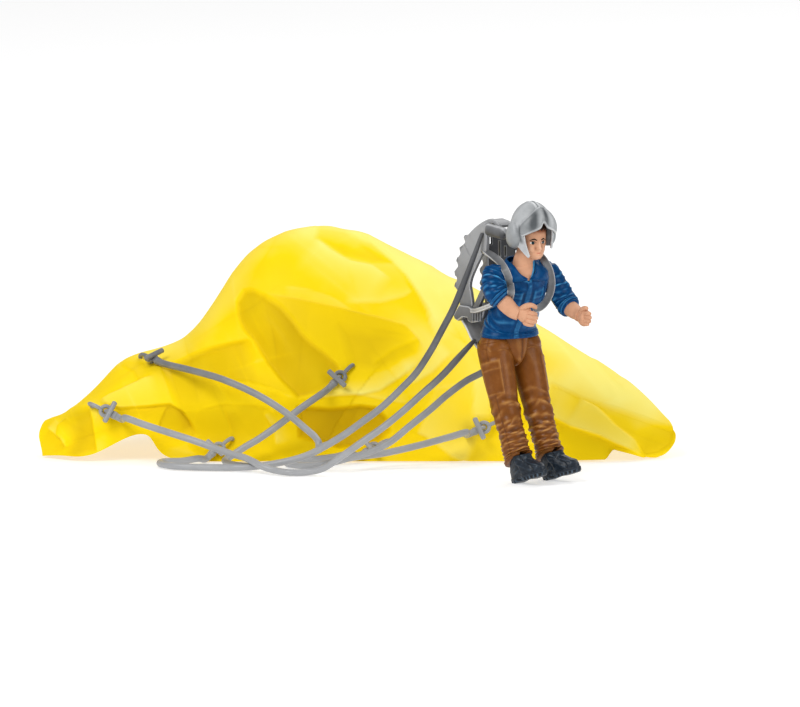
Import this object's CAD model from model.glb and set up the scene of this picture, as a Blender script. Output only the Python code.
# %% [markdown]
# # A toy parachute, dropped on a table
#
# The parachute has landed: its yellow cloth lies in a heap, three moulded lines
# run from the cloth to a grey pack, and a small plastic parachutist wears the
# pack. The scene starts with the frame that the finished parts share, so that
# each piece made here rides on the body it belongs to.

import math

import bmesh
import bpy
import numpy as np
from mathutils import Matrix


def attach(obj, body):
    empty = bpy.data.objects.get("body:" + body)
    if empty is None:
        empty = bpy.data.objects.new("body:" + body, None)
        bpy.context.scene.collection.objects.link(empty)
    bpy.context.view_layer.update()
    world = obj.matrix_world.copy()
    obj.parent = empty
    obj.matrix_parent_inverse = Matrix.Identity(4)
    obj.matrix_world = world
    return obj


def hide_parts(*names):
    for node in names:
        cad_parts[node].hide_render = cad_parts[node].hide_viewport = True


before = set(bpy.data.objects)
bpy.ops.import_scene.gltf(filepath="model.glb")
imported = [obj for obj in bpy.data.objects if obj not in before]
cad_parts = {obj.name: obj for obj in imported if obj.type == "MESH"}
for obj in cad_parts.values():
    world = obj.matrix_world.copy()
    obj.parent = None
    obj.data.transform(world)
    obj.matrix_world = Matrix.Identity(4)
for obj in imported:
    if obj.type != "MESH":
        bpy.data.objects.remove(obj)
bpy.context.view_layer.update()  # bodies, nodes, joints, record

# %% [markdown]
# ## Camera
#
# The camera looks down by eight degrees with no perspective, so one pixel of the
# picture is the same length everywhere. These few numbers also turn any place in
# the picture back into metres, which is how the folds of the cloth are laid out.

# %% Camera
PIXEL = 0.000346
ORIGIN_PIXEL = np.array([517.0, 482.5])
PICTURE_SIZE = np.array([800.0, 707.0])
LOOK_DOWN = math.radians(8)
CAMERA_DISTANCE = 1.2

aside, above = (ORIGIN_PIXEL - PICTURE_SIZE / 2) * PIXEL
camera_data = bpy.data.cameras.new("camera")
camera_data.type = "ORTHO"
camera_data.ortho_scale = PICTURE_SIZE[0] * PIXEL
camera = bpy.data.objects.new("camera", camera_data)
camera.rotation_euler = (math.pi / 2 - LOOK_DOWN, 0, 0)
camera.location = (
    -aside,
    above * math.sin(LOOK_DOWN) - CAMERA_DISTANCE * math.cos(LOOK_DOWN),
    above * math.cos(LOOK_DOWN) + CAMERA_DISTANCE * math.sin(LOOK_DOWN),
)
camera_data.clip_end = 10
bpy.context.scene.collection.objects.link(camera)
bpy.context.scene.camera = camera


def to_pixels(points):
    """Picture places of points in metres: across is x over the pixel's size, down is the height seen along the view, z cos(a) + y sin(a), over the pixel's size."""
    rise = points[..., 2] * math.cos(LOOK_DOWN) + points[..., 1] * math.sin(LOOK_DOWN)
    return np.stack(
        [ORIGIN_PIXEL[0] + points[..., 0] / PIXEL, ORIGIN_PIXEL[1] - rise / PIXEL], axis=-1
    )


print("camera width in metres:", round(camera_data.ortho_scale, 4))

# %% [markdown]
# ## Small helpers
#
# A surface here is a grid of points: a row for each station along the piece and
# a place for each step round it. The helpers join such a grid into faces, close
# its ends, and smooth a few hand-placed points into a fine curve.

# %% Curves and grids
COLLECTION = bpy.data.collections.new("looks")
bpy.context.scene.collection.children.link(COLLECTION)


def spans(points, count):
    """Which span each of `count` even places falls in, how far along it, and the points with one more at each end, in line with the last two."""
    points = np.asarray(points, float)
    longer = np.concatenate([2 * points[:1] - points[1:2], points, 2 * points[-1:] - points[-2:-1]])
    at = np.linspace(0, len(points) - 1, count)
    start = np.minimum(at.astype(int), len(points) - 2)
    along = (at - start).reshape(-1, *([1] * (points.ndim - 1)))
    return longer, start, along


def through(points, count):
    """A smooth curve through every point (Catmull-Rom): a cubic on each span whose slope at a point is half the step between the point's neighbours."""
    p, i, t = spans(points, count)
    a, b, c, d = p[i], p[i + 1], p[i + 2], p[i + 3]
    return 0.5 * (2 * b + (c - a) * t + (2 * a - 5 * b + 4 * c - d) * t**2
                  + (3 * b - a - 3 * c + d) * t**3)


def near(points, count):
    """A smoother curve near the points (cubic B-spline): each place is a mean of four points, with weights that are cubics of the way along the span."""
    p, i, t = spans(points, count)
    return ((1 - t) ** 3 * p[i] + (3 * t**3 - 6 * t**2 + 4) * p[i + 1]
            + (1 + 3 * t + 3 * t**2 - 3 * t**3) * p[i + 2] + t**3 * p[i + 3]) / 6


def length_of(points):
    """Length of a line, the sum of its steps."""
    return float(np.linalg.norm(np.diff(points, axis=0), axis=1).sum())


def unit(vectors):
    """Vectors divided by their lengths."""
    return vectors / np.maximum(np.linalg.norm(vectors, axis=-1, keepdims=True), 1e-12)


def add_mesh(name, points, faces, material):
    """One mesh object from points and faces, with its faces turned outward and smooth."""
    data = bpy.data.meshes.new(name)
    data.from_pydata(points.tolist(), [], faces)
    data.polygons.foreach_set("use_smooth", [True] * len(data.polygons))
    data.materials.append(material)
    data.validate()
    piece = bpy.data.objects.new(name, data)
    COLLECTION.objects.link(piece)
    return piece


def grid_faces(rows, columns, wrap):
    """Four-sided faces of a grid of points, wrapped round when its sides meet."""
    number = np.arange(rows * columns).reshape(rows, columns)
    if wrap:
        number = np.hstack([number, number[:, :1]])
    corners = np.stack([number[:-1, :-1], number[:-1, 1:], number[1:, 1:], number[1:, :-1]], axis=-1)
    return corners.reshape(-1, 4).tolist()


def tube_faces(rows, columns):
    """Faces of a closed tube: its wrapped grid and a fan on a middle point at each end."""
    first, last = rows * columns, rows * columns + 1
    ring = np.arange(columns)
    following = np.roll(ring, -1)
    start = np.stack([np.full(columns, first), following, ring], axis=1)
    end = np.stack([np.full(columns, last), ring, following], axis=1) + [0, (rows - 1) * columns, (rows - 1) * columns]
    return grid_faces(rows, columns, True) + start.tolist() + end.tolist()


def closed_tube(rings):
    """Points and faces of a closed tube through rings, an array of rows, places and x y z."""
    rows, columns = rings.shape[:2]
    points = np.vstack([rings.reshape(-1, 3), rings[0].mean(axis=0), rings[-1].mean(axis=0)])
    return points, tube_faces(rows, columns)


def add_tube(name, rings, material):
    """A closed tube as an object."""
    return add_mesh(name, *closed_tube(rings), material)


def add_joined(name, parts, material):
    """Several closed shapes as one object, with their faces numbered on from each other."""
    points, faces, first = [], [], 0
    for own_points, own_faces in parts:
        points.append(own_points)
        faces += [[corner + first for corner in face] for face in own_faces]
        first += len(own_points)
    return add_mesh(name, np.vstack(points), faces, material)


def rings_round(path, across, deep, sides, hint, relief=None, power=1.0):
    """Rings round a path. A ring's place at angle a is the path's point plus across sin(a) sideways and deep cos(a) towards the hint. relief(a, share along) adds to the radius, in metres; a power below one squares the section."""
    path = np.asarray(path, float)
    slope = unit(np.gradient(path, axis=0))
    side = unit(np.cross(slope, np.broadcast_to(np.asarray(hint, float), slope.shape)))
    front = unit(np.cross(side, slope))
    angle = np.linspace(0, 2 * math.pi, sides, endpoint=False)[None, :]
    along = np.linspace(0, 1, len(path))[:, None]
    extra = 0 if relief is None else relief(angle, along)
    sine, cosine = (np.sign(v) * np.abs(v) ** power for v in (np.sin(angle), np.cos(angle)))
    wide = (np.broadcast_to(across, len(path))[:, None] + extra) * sine
    long = (np.broadcast_to(deep, len(path))[:, None] + extra) * cosine
    return path[:, None] + wide[..., None] * side[:, None] + long[..., None] * front[:, None]


# %% [markdown]
# ## Materials
#
# Every finish starts from what the real one is: dyed nylon cloth, grey plastic
# straight from the mould, and paint on plastic. Small changes in colour and
# roughness, worked out from each point's own place, keep a surface from looking
# flat.


# %% Material helpers
def linear(code):
    """An sRGB hex colour as linear light: each channel c becomes ((c + 0.055) / 1.055) ** 2.4, or c / 12.92 when it is very dark."""
    channels = np.array([int(code[i : i + 2], 16) for i in (1, 3, 5)]) / 255
    light = np.where(channels <= 0.04045, channels / 12.92, ((channels + 0.055) / 1.055) ** 2.4)
    return (*light.tolist(), 1.0)


def add_node(tree, kind, inputs=(), **settings):
    """One node: settings are its own values, inputs are pairs of a socket's name or number and a value or another node's output."""
    made = tree.nodes.new(kind)
    for name, value in settings.items():
        setattr(made, name, value)
    for socket, value in inputs:
        if isinstance(value, bpy.types.NodeSocket):
            tree.links.new(value, made.inputs[socket])
        else:
            made.inputs[socket].default_value = value
    return made


def blotched(name, dark, light, blotch, grain, bump, roughness, **shader):
    """A coloured surface: soft blotches of that size in metres between two colours, a fine grain of that size raised by bump metres, and a roughness that follows the blotches."""
    material = bpy.data.materials.new(name)
    material.use_nodes = True
    tree = material.node_tree
    surface = tree.nodes["Principled BSDF"]
    place = add_node(tree, "ShaderNodeTexCoord").outputs["Object"]
    blotches = add_node(tree, "ShaderNodeTexNoise", [("Vector", place), ("Scale", 1 / blotch), ("Detail", 3.0)])
    grains = add_node(tree, "ShaderNodeTexNoise", [("Vector", place), ("Scale", 1 / grain), ("Detail", 2.0)])
    tint = add_node(tree, "ShaderNodeMix", [("Factor", blotches.outputs[0]), (6, linear(dark)), (7, linear(light))], data_type="RGBA")
    shine = add_node(tree, "ShaderNodeMapRange", [("Value", blotches.outputs[0]), ("To Min", roughness[0]), ("To Max", roughness[1])])
    relief = add_node(tree, "ShaderNodeBump", [("Height", grains.outputs[0]), ("Distance", bump), ("Strength", 0.6)])
    tree.links.new(tint.outputs[2], surface.inputs["Base Color"])
    tree.links.new(shine.outputs[0], surface.inputs["Roughness"])
    tree.links.new(relief.outputs[0], surface.inputs["Normal"])
    for socket, value in shader.items():
        surface.inputs[socket.replace("_", " ")].default_value = value
    return material


def nylon(name):
    """Thin dyed nylon: its colour goes from pale through yellow to deep as the cloth's "layers" value grows, over a fine weave that is drawn coarser than the real 0.1 mm."""
    material = bpy.data.materials.new(name)
    material.use_nodes = True
    tree = material.node_tree
    surface = tree.nodes["Principled BSDF"]
    place = add_node(tree, "ShaderNodeTexCoord").outputs["Object"]
    layers = add_node(tree, "ShaderNodeAttribute", attribute_name="layers")
    clouds = add_node(tree, "ShaderNodeTexNoise", [("Vector", place), ("Scale", 40.0), ("Detail", 3.0)])
    share = add_node(tree, "ShaderNodeMapRange", [("Value", layers.outputs["Fac"]), ("From Min", -1.0), ("From Max", 1.4)])
    spread = add_node(tree, "ShaderNodeMath", [(0, clouds.outputs[0]), (1, 0.22), (2, share.outputs[0])], operation="MULTIPLY_ADD")
    moved = add_node(tree, "ShaderNodeMath", [(0, spread.outputs[0]), (1, 0.11)], operation="SUBTRACT")
    ramp = add_node(tree, "ShaderNodeValToRGB", [("Fac", moved.outputs[0])])
    stops = ramp.color_ramp.elements
    stops[0].position, stops[0].color = 0.0, linear("#FFF07A")
    stops[1].position, stops[1].color = 1.0, linear("#C9A200")
    middle = stops.new(0.42)
    middle.color = linear("#FFDB00")
    weave = add_node(tree, "ShaderNodeTexNoise", [("Vector", place), ("Scale", 1800.0), ("Detail", 2.0)])
    relief = add_node(tree, "ShaderNodeBump", [("Height", weave.outputs[0]), ("Distance", 0.00004), ("Strength", 0.5)])
    tree.links.new(ramp.outputs["Color"], surface.inputs["Base Color"])
    tree.links.new(relief.outputs[0], surface.inputs["Normal"])
    surface.inputs["Roughness"].default_value = 0.6
    surface.inputs["IOR"].default_value = 1.53
    surface.inputs["Specular IOR Level"].default_value = 0.1
    return material


def risen(name, low, high, levels, roughness):
    """Moulded plastic between two greys by the height of its place, from the lower to the upper level in metres, with soft blotches and a fine grain."""
    material = bpy.data.materials.new(name)
    material.use_nodes = True
    tree = material.node_tree
    surface = tree.nodes["Principled BSDF"]
    place = add_node(tree, "ShaderNodeTexCoord").outputs["Object"]
    parts = add_node(tree, "ShaderNodeSeparateXYZ", [("Vector", place)])
    share = add_node(tree, "ShaderNodeMapRange", [("Value", parts.outputs["Z"]), ("From Min", levels[0]), ("From Max", levels[1])])
    blotches = add_node(tree, "ShaderNodeTexNoise", [("Vector", place), ("Scale", 160.0), ("Detail", 3.0)])
    spread = add_node(tree, "ShaderNodeMath", [(0, blotches.outputs[0]), (1, 0.5), (2, share.outputs[0])], operation="MULTIPLY_ADD")
    moved = add_node(tree, "ShaderNodeMath", [(0, spread.outputs[0]), (1, 0.25)], operation="SUBTRACT", use_clamp=True)
    tint = add_node(tree, "ShaderNodeMix", [("Factor", moved.outputs[0]), (6, linear(low)), (7, linear(high))], data_type="RGBA")
    grain = add_node(tree, "ShaderNodeTexNoise", [("Vector", place), ("Scale", 2200.0), ("Detail", 2.0)])
    relief = add_node(tree, "ShaderNodeBump", [("Height", grain.outputs[0]), ("Distance", 0.00003), ("Strength", 0.6)])
    shine = add_node(tree, "ShaderNodeMapRange", [("Value", blotches.outputs[0]), ("To Min", roughness - 0.06), ("To Max", roughness + 0.06)])
    tree.links.new(tint.outputs[2], surface.inputs["Base Color"])
    tree.links.new(shine.outputs[0], surface.inputs["Roughness"])
    tree.links.new(relief.outputs[0], surface.inputs["Normal"])
    surface.inputs["IOR"].default_value = 1.48
    surface.inputs["Specular IOR Level"].default_value = 0.35
    return material


def painted(name, deep, plain, raised, roughness, gloss=0.14, grain=(2200.0, 0.00003)):
    """Paint over moulded relief: deep in the hollows, plain on the flats and pale on the raised parts, by the piece's "raised" value from -1 to 1, with fine brush blotches, and a grain with its scale and its height in metres."""
    material = bpy.data.materials.new(name)
    material.use_nodes = True
    tree = material.node_tree
    surface = tree.nodes["Principled BSDF"]
    place = add_node(tree, "ShaderNodeTexCoord").outputs["Object"]
    height = add_node(tree, "ShaderNodeAttribute", attribute_name="raised")
    blotches = add_node(tree, "ShaderNodeTexNoise", [("Vector", place), ("Scale", 420.0), ("Detail", 3.0)])
    share = add_node(tree, "ShaderNodeMapRange", [("Value", height.outputs["Fac"]), ("From Min", -1.0), ("From Max", 1.0)])
    spread = add_node(tree, "ShaderNodeMath", [(0, blotches.outputs[0]), (1, 0.22), (2, share.outputs[0])], operation="MULTIPLY_ADD")
    moved = add_node(tree, "ShaderNodeMath", [(0, spread.outputs[0]), (1, 0.11)], operation="SUBTRACT")
    ramp = add_node(tree, "ShaderNodeValToRGB", [("Fac", moved.outputs[0])])
    stops = ramp.color_ramp.elements
    stops[0].position, stops[0].color = 0.08, linear(deep)
    stops[1].position, stops[1].color = 0.95, linear(raised)
    middle = stops.new(0.5)
    middle.color = linear(plain)
    grains = add_node(tree, "ShaderNodeTexNoise", [("Vector", place), ("Scale", grain[0]), ("Detail", 2.0)])
    relief = add_node(tree, "ShaderNodeBump", [("Height", grains.outputs[0]), ("Distance", grain[1]), ("Strength", 0.5)])
    shine = add_node(tree, "ShaderNodeMapRange", [("Value", blotches.outputs[0]), ("To Min", roughness - 0.08), ("To Max", roughness + 0.08)])
    tree.links.new(ramp.outputs["Color"], surface.inputs["Base Color"])
    tree.links.new(shine.outputs[0], surface.inputs["Roughness"])
    tree.links.new(relief.outputs[0], surface.inputs["Normal"])
    surface.inputs["IOR"].default_value = 1.5
    surface.inputs["Specular IOR Level"].default_value = gloss
    return material


# %% Finishes
# Thin yellow nylon taffeta.
CLOTH = nylon("yellow_nylon")
# Soft plastic from the mould, satin: the lines and their ends, a darker grey towards the pack.
LINE_PLASTIC = risen("grey_line_plastic", "#A2A3A5", "#58595B", (0.008, 0.048), 0.32)
# Hard plastic of the pack, a little darker, with a fine texture from its mould.
PACK_PLASTIC = risen("pack_plastic", "#57585A", "#9FA0A2", (0.050, 0.080), 0.45)
PACK_DARK = risen("pack_inner_plastic", "#505153", "#5C5D5F", (0.050, 0.078), 0.5)
# The same plastic where handling has polished its edges pale.
PACK_RIM = blotched("pack_rim_plastic", "#A2A3A5", "#B6B7B9", 0.006, 0.0006, 0.00001, (0.3, 0.4), IOR=1.5)
PACK_BAND = painted("pack_band_plastic", "#3E3F41", "#828385", "#DCDDDF", 0.4, 0.4)
# Smooth helmet plastic with pale, polished rims and a grey wash in its grooves.
HELMET_PLASTIC = painted("helmet_plastic", "#4E5255", "#9FA2A4", "#E4E6E8", 0.34, 0.4)
# Matt paint on plastic for the shirt, worn thin and pale on the raised folds.
SHIRT_PAINT = painted("blue_shirt_paint", "#01101F", "#013E70", "#4A9CD0", 0.28, 0.1)
# Brown trouser paint with a lighter dry wash on its folds.
TROUSER_PAINT = painted("brown_trouser_paint", "#3A1C07", "#7A4616", "#C28C4C", 0.34, 0.2, (1300.0, 0.00006))
# Near-black boot paint, satin as waxed leather.
BOOT_PAINT = painted("black_boot_paint", "#080B0F", "#19222C", "#4F6070", 0.36, 0.3, (1000.0, 0.00016))
# Skin-coloured plastic, left bare, with a thin brown wash in its hollows.
SKIN_PLASTIC = painted("skin_plastic", "#7C4227", "#D09C7C", "#EFC3A5", 0.48)
# Dark brown paint of the hair and the brows, white and dark dots of the eyes, soft red lips.
HAIR_PAINT = painted("hair_paint", "#1C120C", "#2E1D13", "#4A3020", 0.45)
EYE_WHITE = painted("eye_white_paint", "#D8D4CE", "#EDEAE4", "#F6F3EE", 0.3)
EYE_DARK = painted("eye_dark_paint", "#0E1A1C", "#1C3034", "#33555A", 0.25)
LIP_PAINT = painted("lip_paint", "#A85F4A", "#C27660", "#D08A74", 0.45)

NODE_MATERIALS = {
    "line_end": LINE_PLASTIC, "torso": SHIRT_PAINT, "arm": SHIRT_PAINT, "pelvis": TROUSER_PAINT,
    "leg": TROUSER_PAINT, "boot": BOOT_PAINT, "head": SKIN_PLASTIC, "helmet": HELMET_PLASTIC,
    "ear_cup": HELMET_PLASTIC, "pack": PACK_PLASTIC, "shoulder_strap": PACK_PLASTIC,
    "hip_axle": LINE_PLASTIC, "shoulder_axle": LINE_PLASTIC,
}
for node_name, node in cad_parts.items():
    for start, material in NODE_MATERIALS.items():
        if node_name.startswith(start):
            node.data.materials.clear()
            node.data.materials.append(material)

# %% [markdown]
# ## Lines
#
# Each line is one round strand of soft plastic. Its route is the same one that
# the solid model follows: down from the pack, over the table and up to its end
# on the cloth.

# %% Lines
LINE_DIAMETER = 0.0024
LINE_POINTS = 220
ROUTES = {
    "line_top": (
        (-0.0120, 0.0136, 0.0853), (-0.0137, 0.0128, 0.0805), (-0.0176, 0.0115, 0.0702),
        (-0.0218, 0.0110, 0.0598), (-0.0263, 0.0115, 0.0510), (-0.0301, 0.0120, 0.0439),
        (-0.0349, 0.0128, 0.0365), (-0.0405, 0.0140, 0.0304), (-0.0467, 0.0155, 0.0242),
        (-0.0536, 0.0175, 0.0187), (-0.0605, 0.0195, 0.0135), (-0.0668, 0.0210, 0.0095),
        (-0.0716, 0.0223, 0.0068), (-0.0772, 0.0235, 0.0047), (-0.0834, 0.0245, 0.0032),
        (-0.0907, 0.0255, 0.0020), (-0.0976, 0.0274, 0.0014), (-0.1055, 0.0274, 0.0014),
        (-0.1131, 0.0286, 0.0014), (-0.1194, 0.0311, 0.0014), (-0.1235, 0.0373, 0.0014),
        (-0.1218, 0.0423, 0.0014), (-0.1159, 0.0435, 0.0014), (-0.1104, 0.0445, 0.0021),
    ),
    "line_lower": (
        (-0.0159, 0.0218, 0.0453), (-0.0197, 0.0205, 0.0413), (-0.0260, 0.0175, 0.0348),
        (-0.0329, 0.0152, 0.0288), (-0.0398, 0.0130, 0.0228), (-0.0467, 0.0115, 0.0174),
        (-0.0536, 0.0105, 0.0127), (-0.0605, 0.0110, 0.0077), (-0.0668, 0.0140, 0.0031),
        (-0.0723, 0.0162, 0.0014), (-0.0785, 0.0149, 0.0014), (-0.0841, 0.0180, 0.0018),
        (-0.0882, 0.0202, 0.0028), (-0.0913, 0.0235, 0.0040), (-0.0945, 0.0275, 0.0049),
        (-0.0986, 0.0315, 0.0055), (-0.1048, 0.0360, 0.0070), (-0.1114, 0.0390, 0.0090),
        (-0.1190, 0.0410, 0.0112), (-0.1287, 0.0430, 0.0141), (-0.1353, 0.0450, 0.0162),
    ),
    "line_far": (
        (-0.0080, 0.0272, 0.0393), (-0.0114, 0.0280, 0.0350), (-0.0176, 0.0290, 0.0314),
        (-0.0246, 0.0295, 0.0261), (-0.0301, 0.0298, 0.0212), (-0.0370, 0.0298, 0.0156),
        (-0.0439, 0.0295, 0.0100), (-0.0509, 0.0290, 0.0066), (-0.0578, 0.0285, 0.0046),
        (-0.0647, 0.0285, 0.0028), (-0.0695, 0.0290, 0.0019), (-0.0751, 0.0321, 0.0014),
        (-0.0796, 0.0378, 0.0014), (-0.0761, 0.0435, 0.0014), (-0.0699, 0.0433, 0.0020),
        (-0.0630, 0.0438, 0.0028), (-0.0578, 0.0446, 0.0038),
    ),
    "line_left_branch": (
        (-0.0683, 0.0245, 0.0091), (-0.0687, 0.0260, 0.0105), (-0.0702, 0.0290, 0.0122),
        (-0.0730, 0.0320, 0.0142), (-0.0785, 0.0348, 0.0184), (-0.0855, 0.0380, 0.0228),
        (-0.0924, 0.0417, 0.0261), (-0.0993, 0.0450, 0.0287), (-0.1048, 0.0486, 0.0302),
        (-0.1138, 0.0560, 0.0316), (-0.1190, 0.0620, 0.0320),
    ),
    "line_centre_branch": (
        (-0.0938, 0.0296, 0.0016), (-0.0972, 0.0331, 0.0014), (-0.1000, 0.0381, 0.0014),
        (-0.1010, 0.0420, 0.0018), (-0.0986, 0.0443, 0.0032), (-0.0938, 0.0448, 0.0063),
        (-0.0889, 0.0449, 0.0092), (-0.0820, 0.0452, 0.0141), (-0.0751, 0.0465, 0.0192),
        (-0.0682, 0.0488, 0.0237),
    ),
    "line_right_branch": (
        (-0.0543, 0.0316, 0.0047), (-0.0495, 0.0350, 0.0048), (-0.0439, 0.0380, 0.0053),
        (-0.0336, 0.0410, 0.0073), (-0.0232, 0.0435, 0.0098), (-0.0176, 0.0450, 0.0112),
    ),
}
# Each end's place on the cloth, the way its line points, and the way out of the cloth.
LINE_ENDS = {
    "left_high": ((-0.12649, 0.07150, 0.03340), (-0.6238, 0.7629, 0.1701), (-0.1316, -0.3171, 0.9392)),
    "left_low": ((-0.14236, 0.05229, 0.01765), (-0.8771, 0.2626, 0.4021), (-0.1035, -0.9210, 0.3756)),
    "centre": ((-0.06116, 0.05497, 0.02927), (0.6803, 0.3606, 0.6380), (0.0558, -0.8935, 0.4455)),
    "right": ((-0.01138, 0.05176, 0.01202), (0.9147, 0.1411, 0.3788), (0.0231, -0.9538, 0.2996)),
    "ground_right": ((-0.04948, 0.05165, 0.00503), (0.8139, 0.4190, 0.4025), (-0.0000, -0.6928, 0.7212)),
    "ground_left": ((-0.10314, 0.05199, 0.00487), (0.7163, 0.4476, 0.5353), (-0.0183, -0.7549, 0.6556)),
}
LINE_TO_END = {
    "line_top": "ground_left", "line_lower": "left_low", "line_far": "ground_right",
    "line_left_branch": "left_high", "line_centre_branch": "centre", "line_right_branch": "right",
}
RING_RADIUS = 0.0017
BOSS_LENGTH = 0.0013
MOUTH_STRAIGHT = 0.0036


def end_frame(label):
    """An end's own axes as columns (along the line, across, out of the cloth) and its place."""
    place, along, out = (np.array(v) for v in LINE_ENDS[label])
    out = unit(out)
    along = unit(along - out * (along @ out))
    return np.stack([along, np.cross(out, along), out], axis=1), place


RING_SIDES = 20
BAR_HALF_LENGTH = 0.0041
BAR_RADIUS = 0.0009
BAR_SETBACK = -0.0019
BAR_HEIGHT = 0.0021
TONGUE_RADIUS = 0.0007
TONGUE_HEIGHT = 0.0034
TONGUE_REACH = 0.0048
# Tongue from the ring out, through the cloth and back, as shares of its reach and height.
TONGUE_SHARES = ((0.0, 0.0), (0.4, -0.03), (0.8, 0.10), (1.0, 0.42), (0.86, 0.84), (0.46, 1.0),
                 (-0.18, 0.86), (-0.35, 0.45), (-0.37, 0.0))
UP = (0, 0, 1)


def add_line_end(label):
    """The moulded end: a boss, a ring, a tongue that goes through the cloth and up through the ring, and the bar that holds it."""
    axes, place = end_frame(label)
    turn = np.linspace(0, 2 * math.pi, 41)
    ring = np.stack([RING_RADIUS * np.cos(turn), RING_RADIUS * np.sin(turn), 0 * turn], axis=1)
    boss = [(-RING_RADIUS - BOSS_LENGTH - 0.0012, 0, 0), (-RING_RADIUS - BOSS_LENGTH, 0, 0), (-RING_RADIUS - 0.0005, 0, 0), (-RING_RADIUS + 0.0006, 0, 0)]
    tongue = [(RING_RADIUS + TONGUE_REACH * a, 0, -TONGUE_HEIGHT * b) for a, b in TONGUE_SHARES]
    tongue += [(BAR_SETBACK * 0.45, 0, BAR_HEIGHT * 0.62), (BAR_SETBACK, 0, BAR_HEIGHT)]
    across = np.linspace(-1, 1, 30)[:, None] * [0, BAR_HALF_LENGTH, 0] + [BAR_SETBACK, 0, BAR_HEIGHT]
    bar_end = np.sqrt(np.clip((1 - np.abs(np.linspace(-1, 1, 30))) / 0.08 + 0.2, 0, 1))
    boss_wide = through([(0.0013,), (0.0014,), (0.0011,), (0.0007,)], 16)[:, 0]
    shapes = [
        rings_round(ring, 0.0007, 0.0006, RING_SIDES, UP), rings_round(through(boss, 16), boss_wide, boss_wide, RING_SIDES, UP),
        rings_round(through(tongue, 90), TONGUE_RADIUS, TONGUE_RADIUS, 16, (0, 1, 0)),
        rings_round(across, BAR_RADIUS * bar_end, BAR_RADIUS * bar_end, RING_SIDES, UP),
    ]
    piece = add_joined("fitting_" + label, [closed_tube(rings @ axes.T + place) for rings in shapes], LINE_PLASTIC)
    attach(piece, "parachute")
    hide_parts("line_end_" + label)


for end_label in LINE_ENDS:
    add_line_end(end_label)


# Where a line starts inside the pack's flap, so that it grows out of the flap's rim.
LINE_ROOTS = {"line_lower": ((-0.0146, 0.0236, 0.0464),), "line_far": ((-0.0078, 0.0246, 0.0438),)}
PARENTS = {"line_left_branch": "line_top", "line_centre_branch": "line_lower", "line_right_branch": "line_far"}
ROOT_SHARE = {"line_top": 0.5, "line_lower": 0.5, "line_far": 0.6}
# How far up its parent line a branch starts: it turns back from the far line, so there it starts further down.
ROOT_STEPS = {"line_left_branch": 0.0042, "line_centre_branch": 0.0042, "line_right_branch": -0.0042}
PATHS = {}


def root_of(name, start):
    """A branch's root: the place on its parent line that is nearest to the branch's start, moved by its root step so that the fork is pointed."""
    if name not in PARENTS:
        return LINE_ROOTS.get(name, ())
    nearest = min(PATHS.values(), key=lambda path: np.linalg.norm(path - start, axis=1).min())
    steps = np.append(0, np.cumsum(np.linalg.norm(np.diff(nearest, axis=0), axis=1)))
    at = steps[np.linalg.norm(nearest - start, axis=1).argmin()] - ROOT_STEPS[name]
    return (tuple(np.interp(at, steps, nearest[:, k]) for k in range(3)),)


def add_line(name):
    """One line as a round curve through its route, from its root and straight at last into its end's boss."""
    axes, place = end_frame(LINE_TO_END[name])
    mouth = place - axes[:, 0] * (RING_RADIUS + BOSS_LENGTH)
    before = mouth - axes[:, 0] * MOUTH_STRAIGHT
    roots = np.array(root_of(name, np.array(ROUTES[name][0]))).reshape(-1, 3)
    path = through(np.vstack([roots, ROUTES[name], before, mouth]), LINE_POINTS)
    thin = ROOT_SHARE.get(name, 1.0)
    swell = thin + (1 - thin) * np.clip(np.linspace(0, 1, LINE_POINTS) / 0.10, 0, 1)
    curve = bpy.data.curves.new(name, "CURVE")
    curve.dimensions = "3D"
    curve.bevel_depth = LINE_DIAMETER / 2
    curve.bevel_resolution = 5
    curve.use_fill_caps = True
    spline = curve.splines.new("POLY")
    spline.points.add(len(path) - 1)
    spline.points.foreach_set("co", np.hstack([path, np.ones((len(path), 1))]).ravel())
    spline.points.foreach_set("radius", swell)
    curve.materials.append(LINE_PLASTIC)
    piece = bpy.data.objects.new(name + "_strand", curve)
    COLLECTION.objects.link(piece)
    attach(piece, "parachute")
    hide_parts(name)
    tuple(path[0])
    print(name, "is", round(length_of(path) * 1000, 1), "mm long")
    PATHS[name] = path


for line_name in ROUTES:
    add_line(line_name)

# %% [markdown]
# ## Cloth
#
# The canopy is one sheet. A coarse cage of places, read as pixels with a share of
# the heap's depth, says where the heap's big forms are. A smooth surface goes
# near the cage, and creases are then pressed into it or raised from it along
# lines that are also laid out in the picture.

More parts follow.
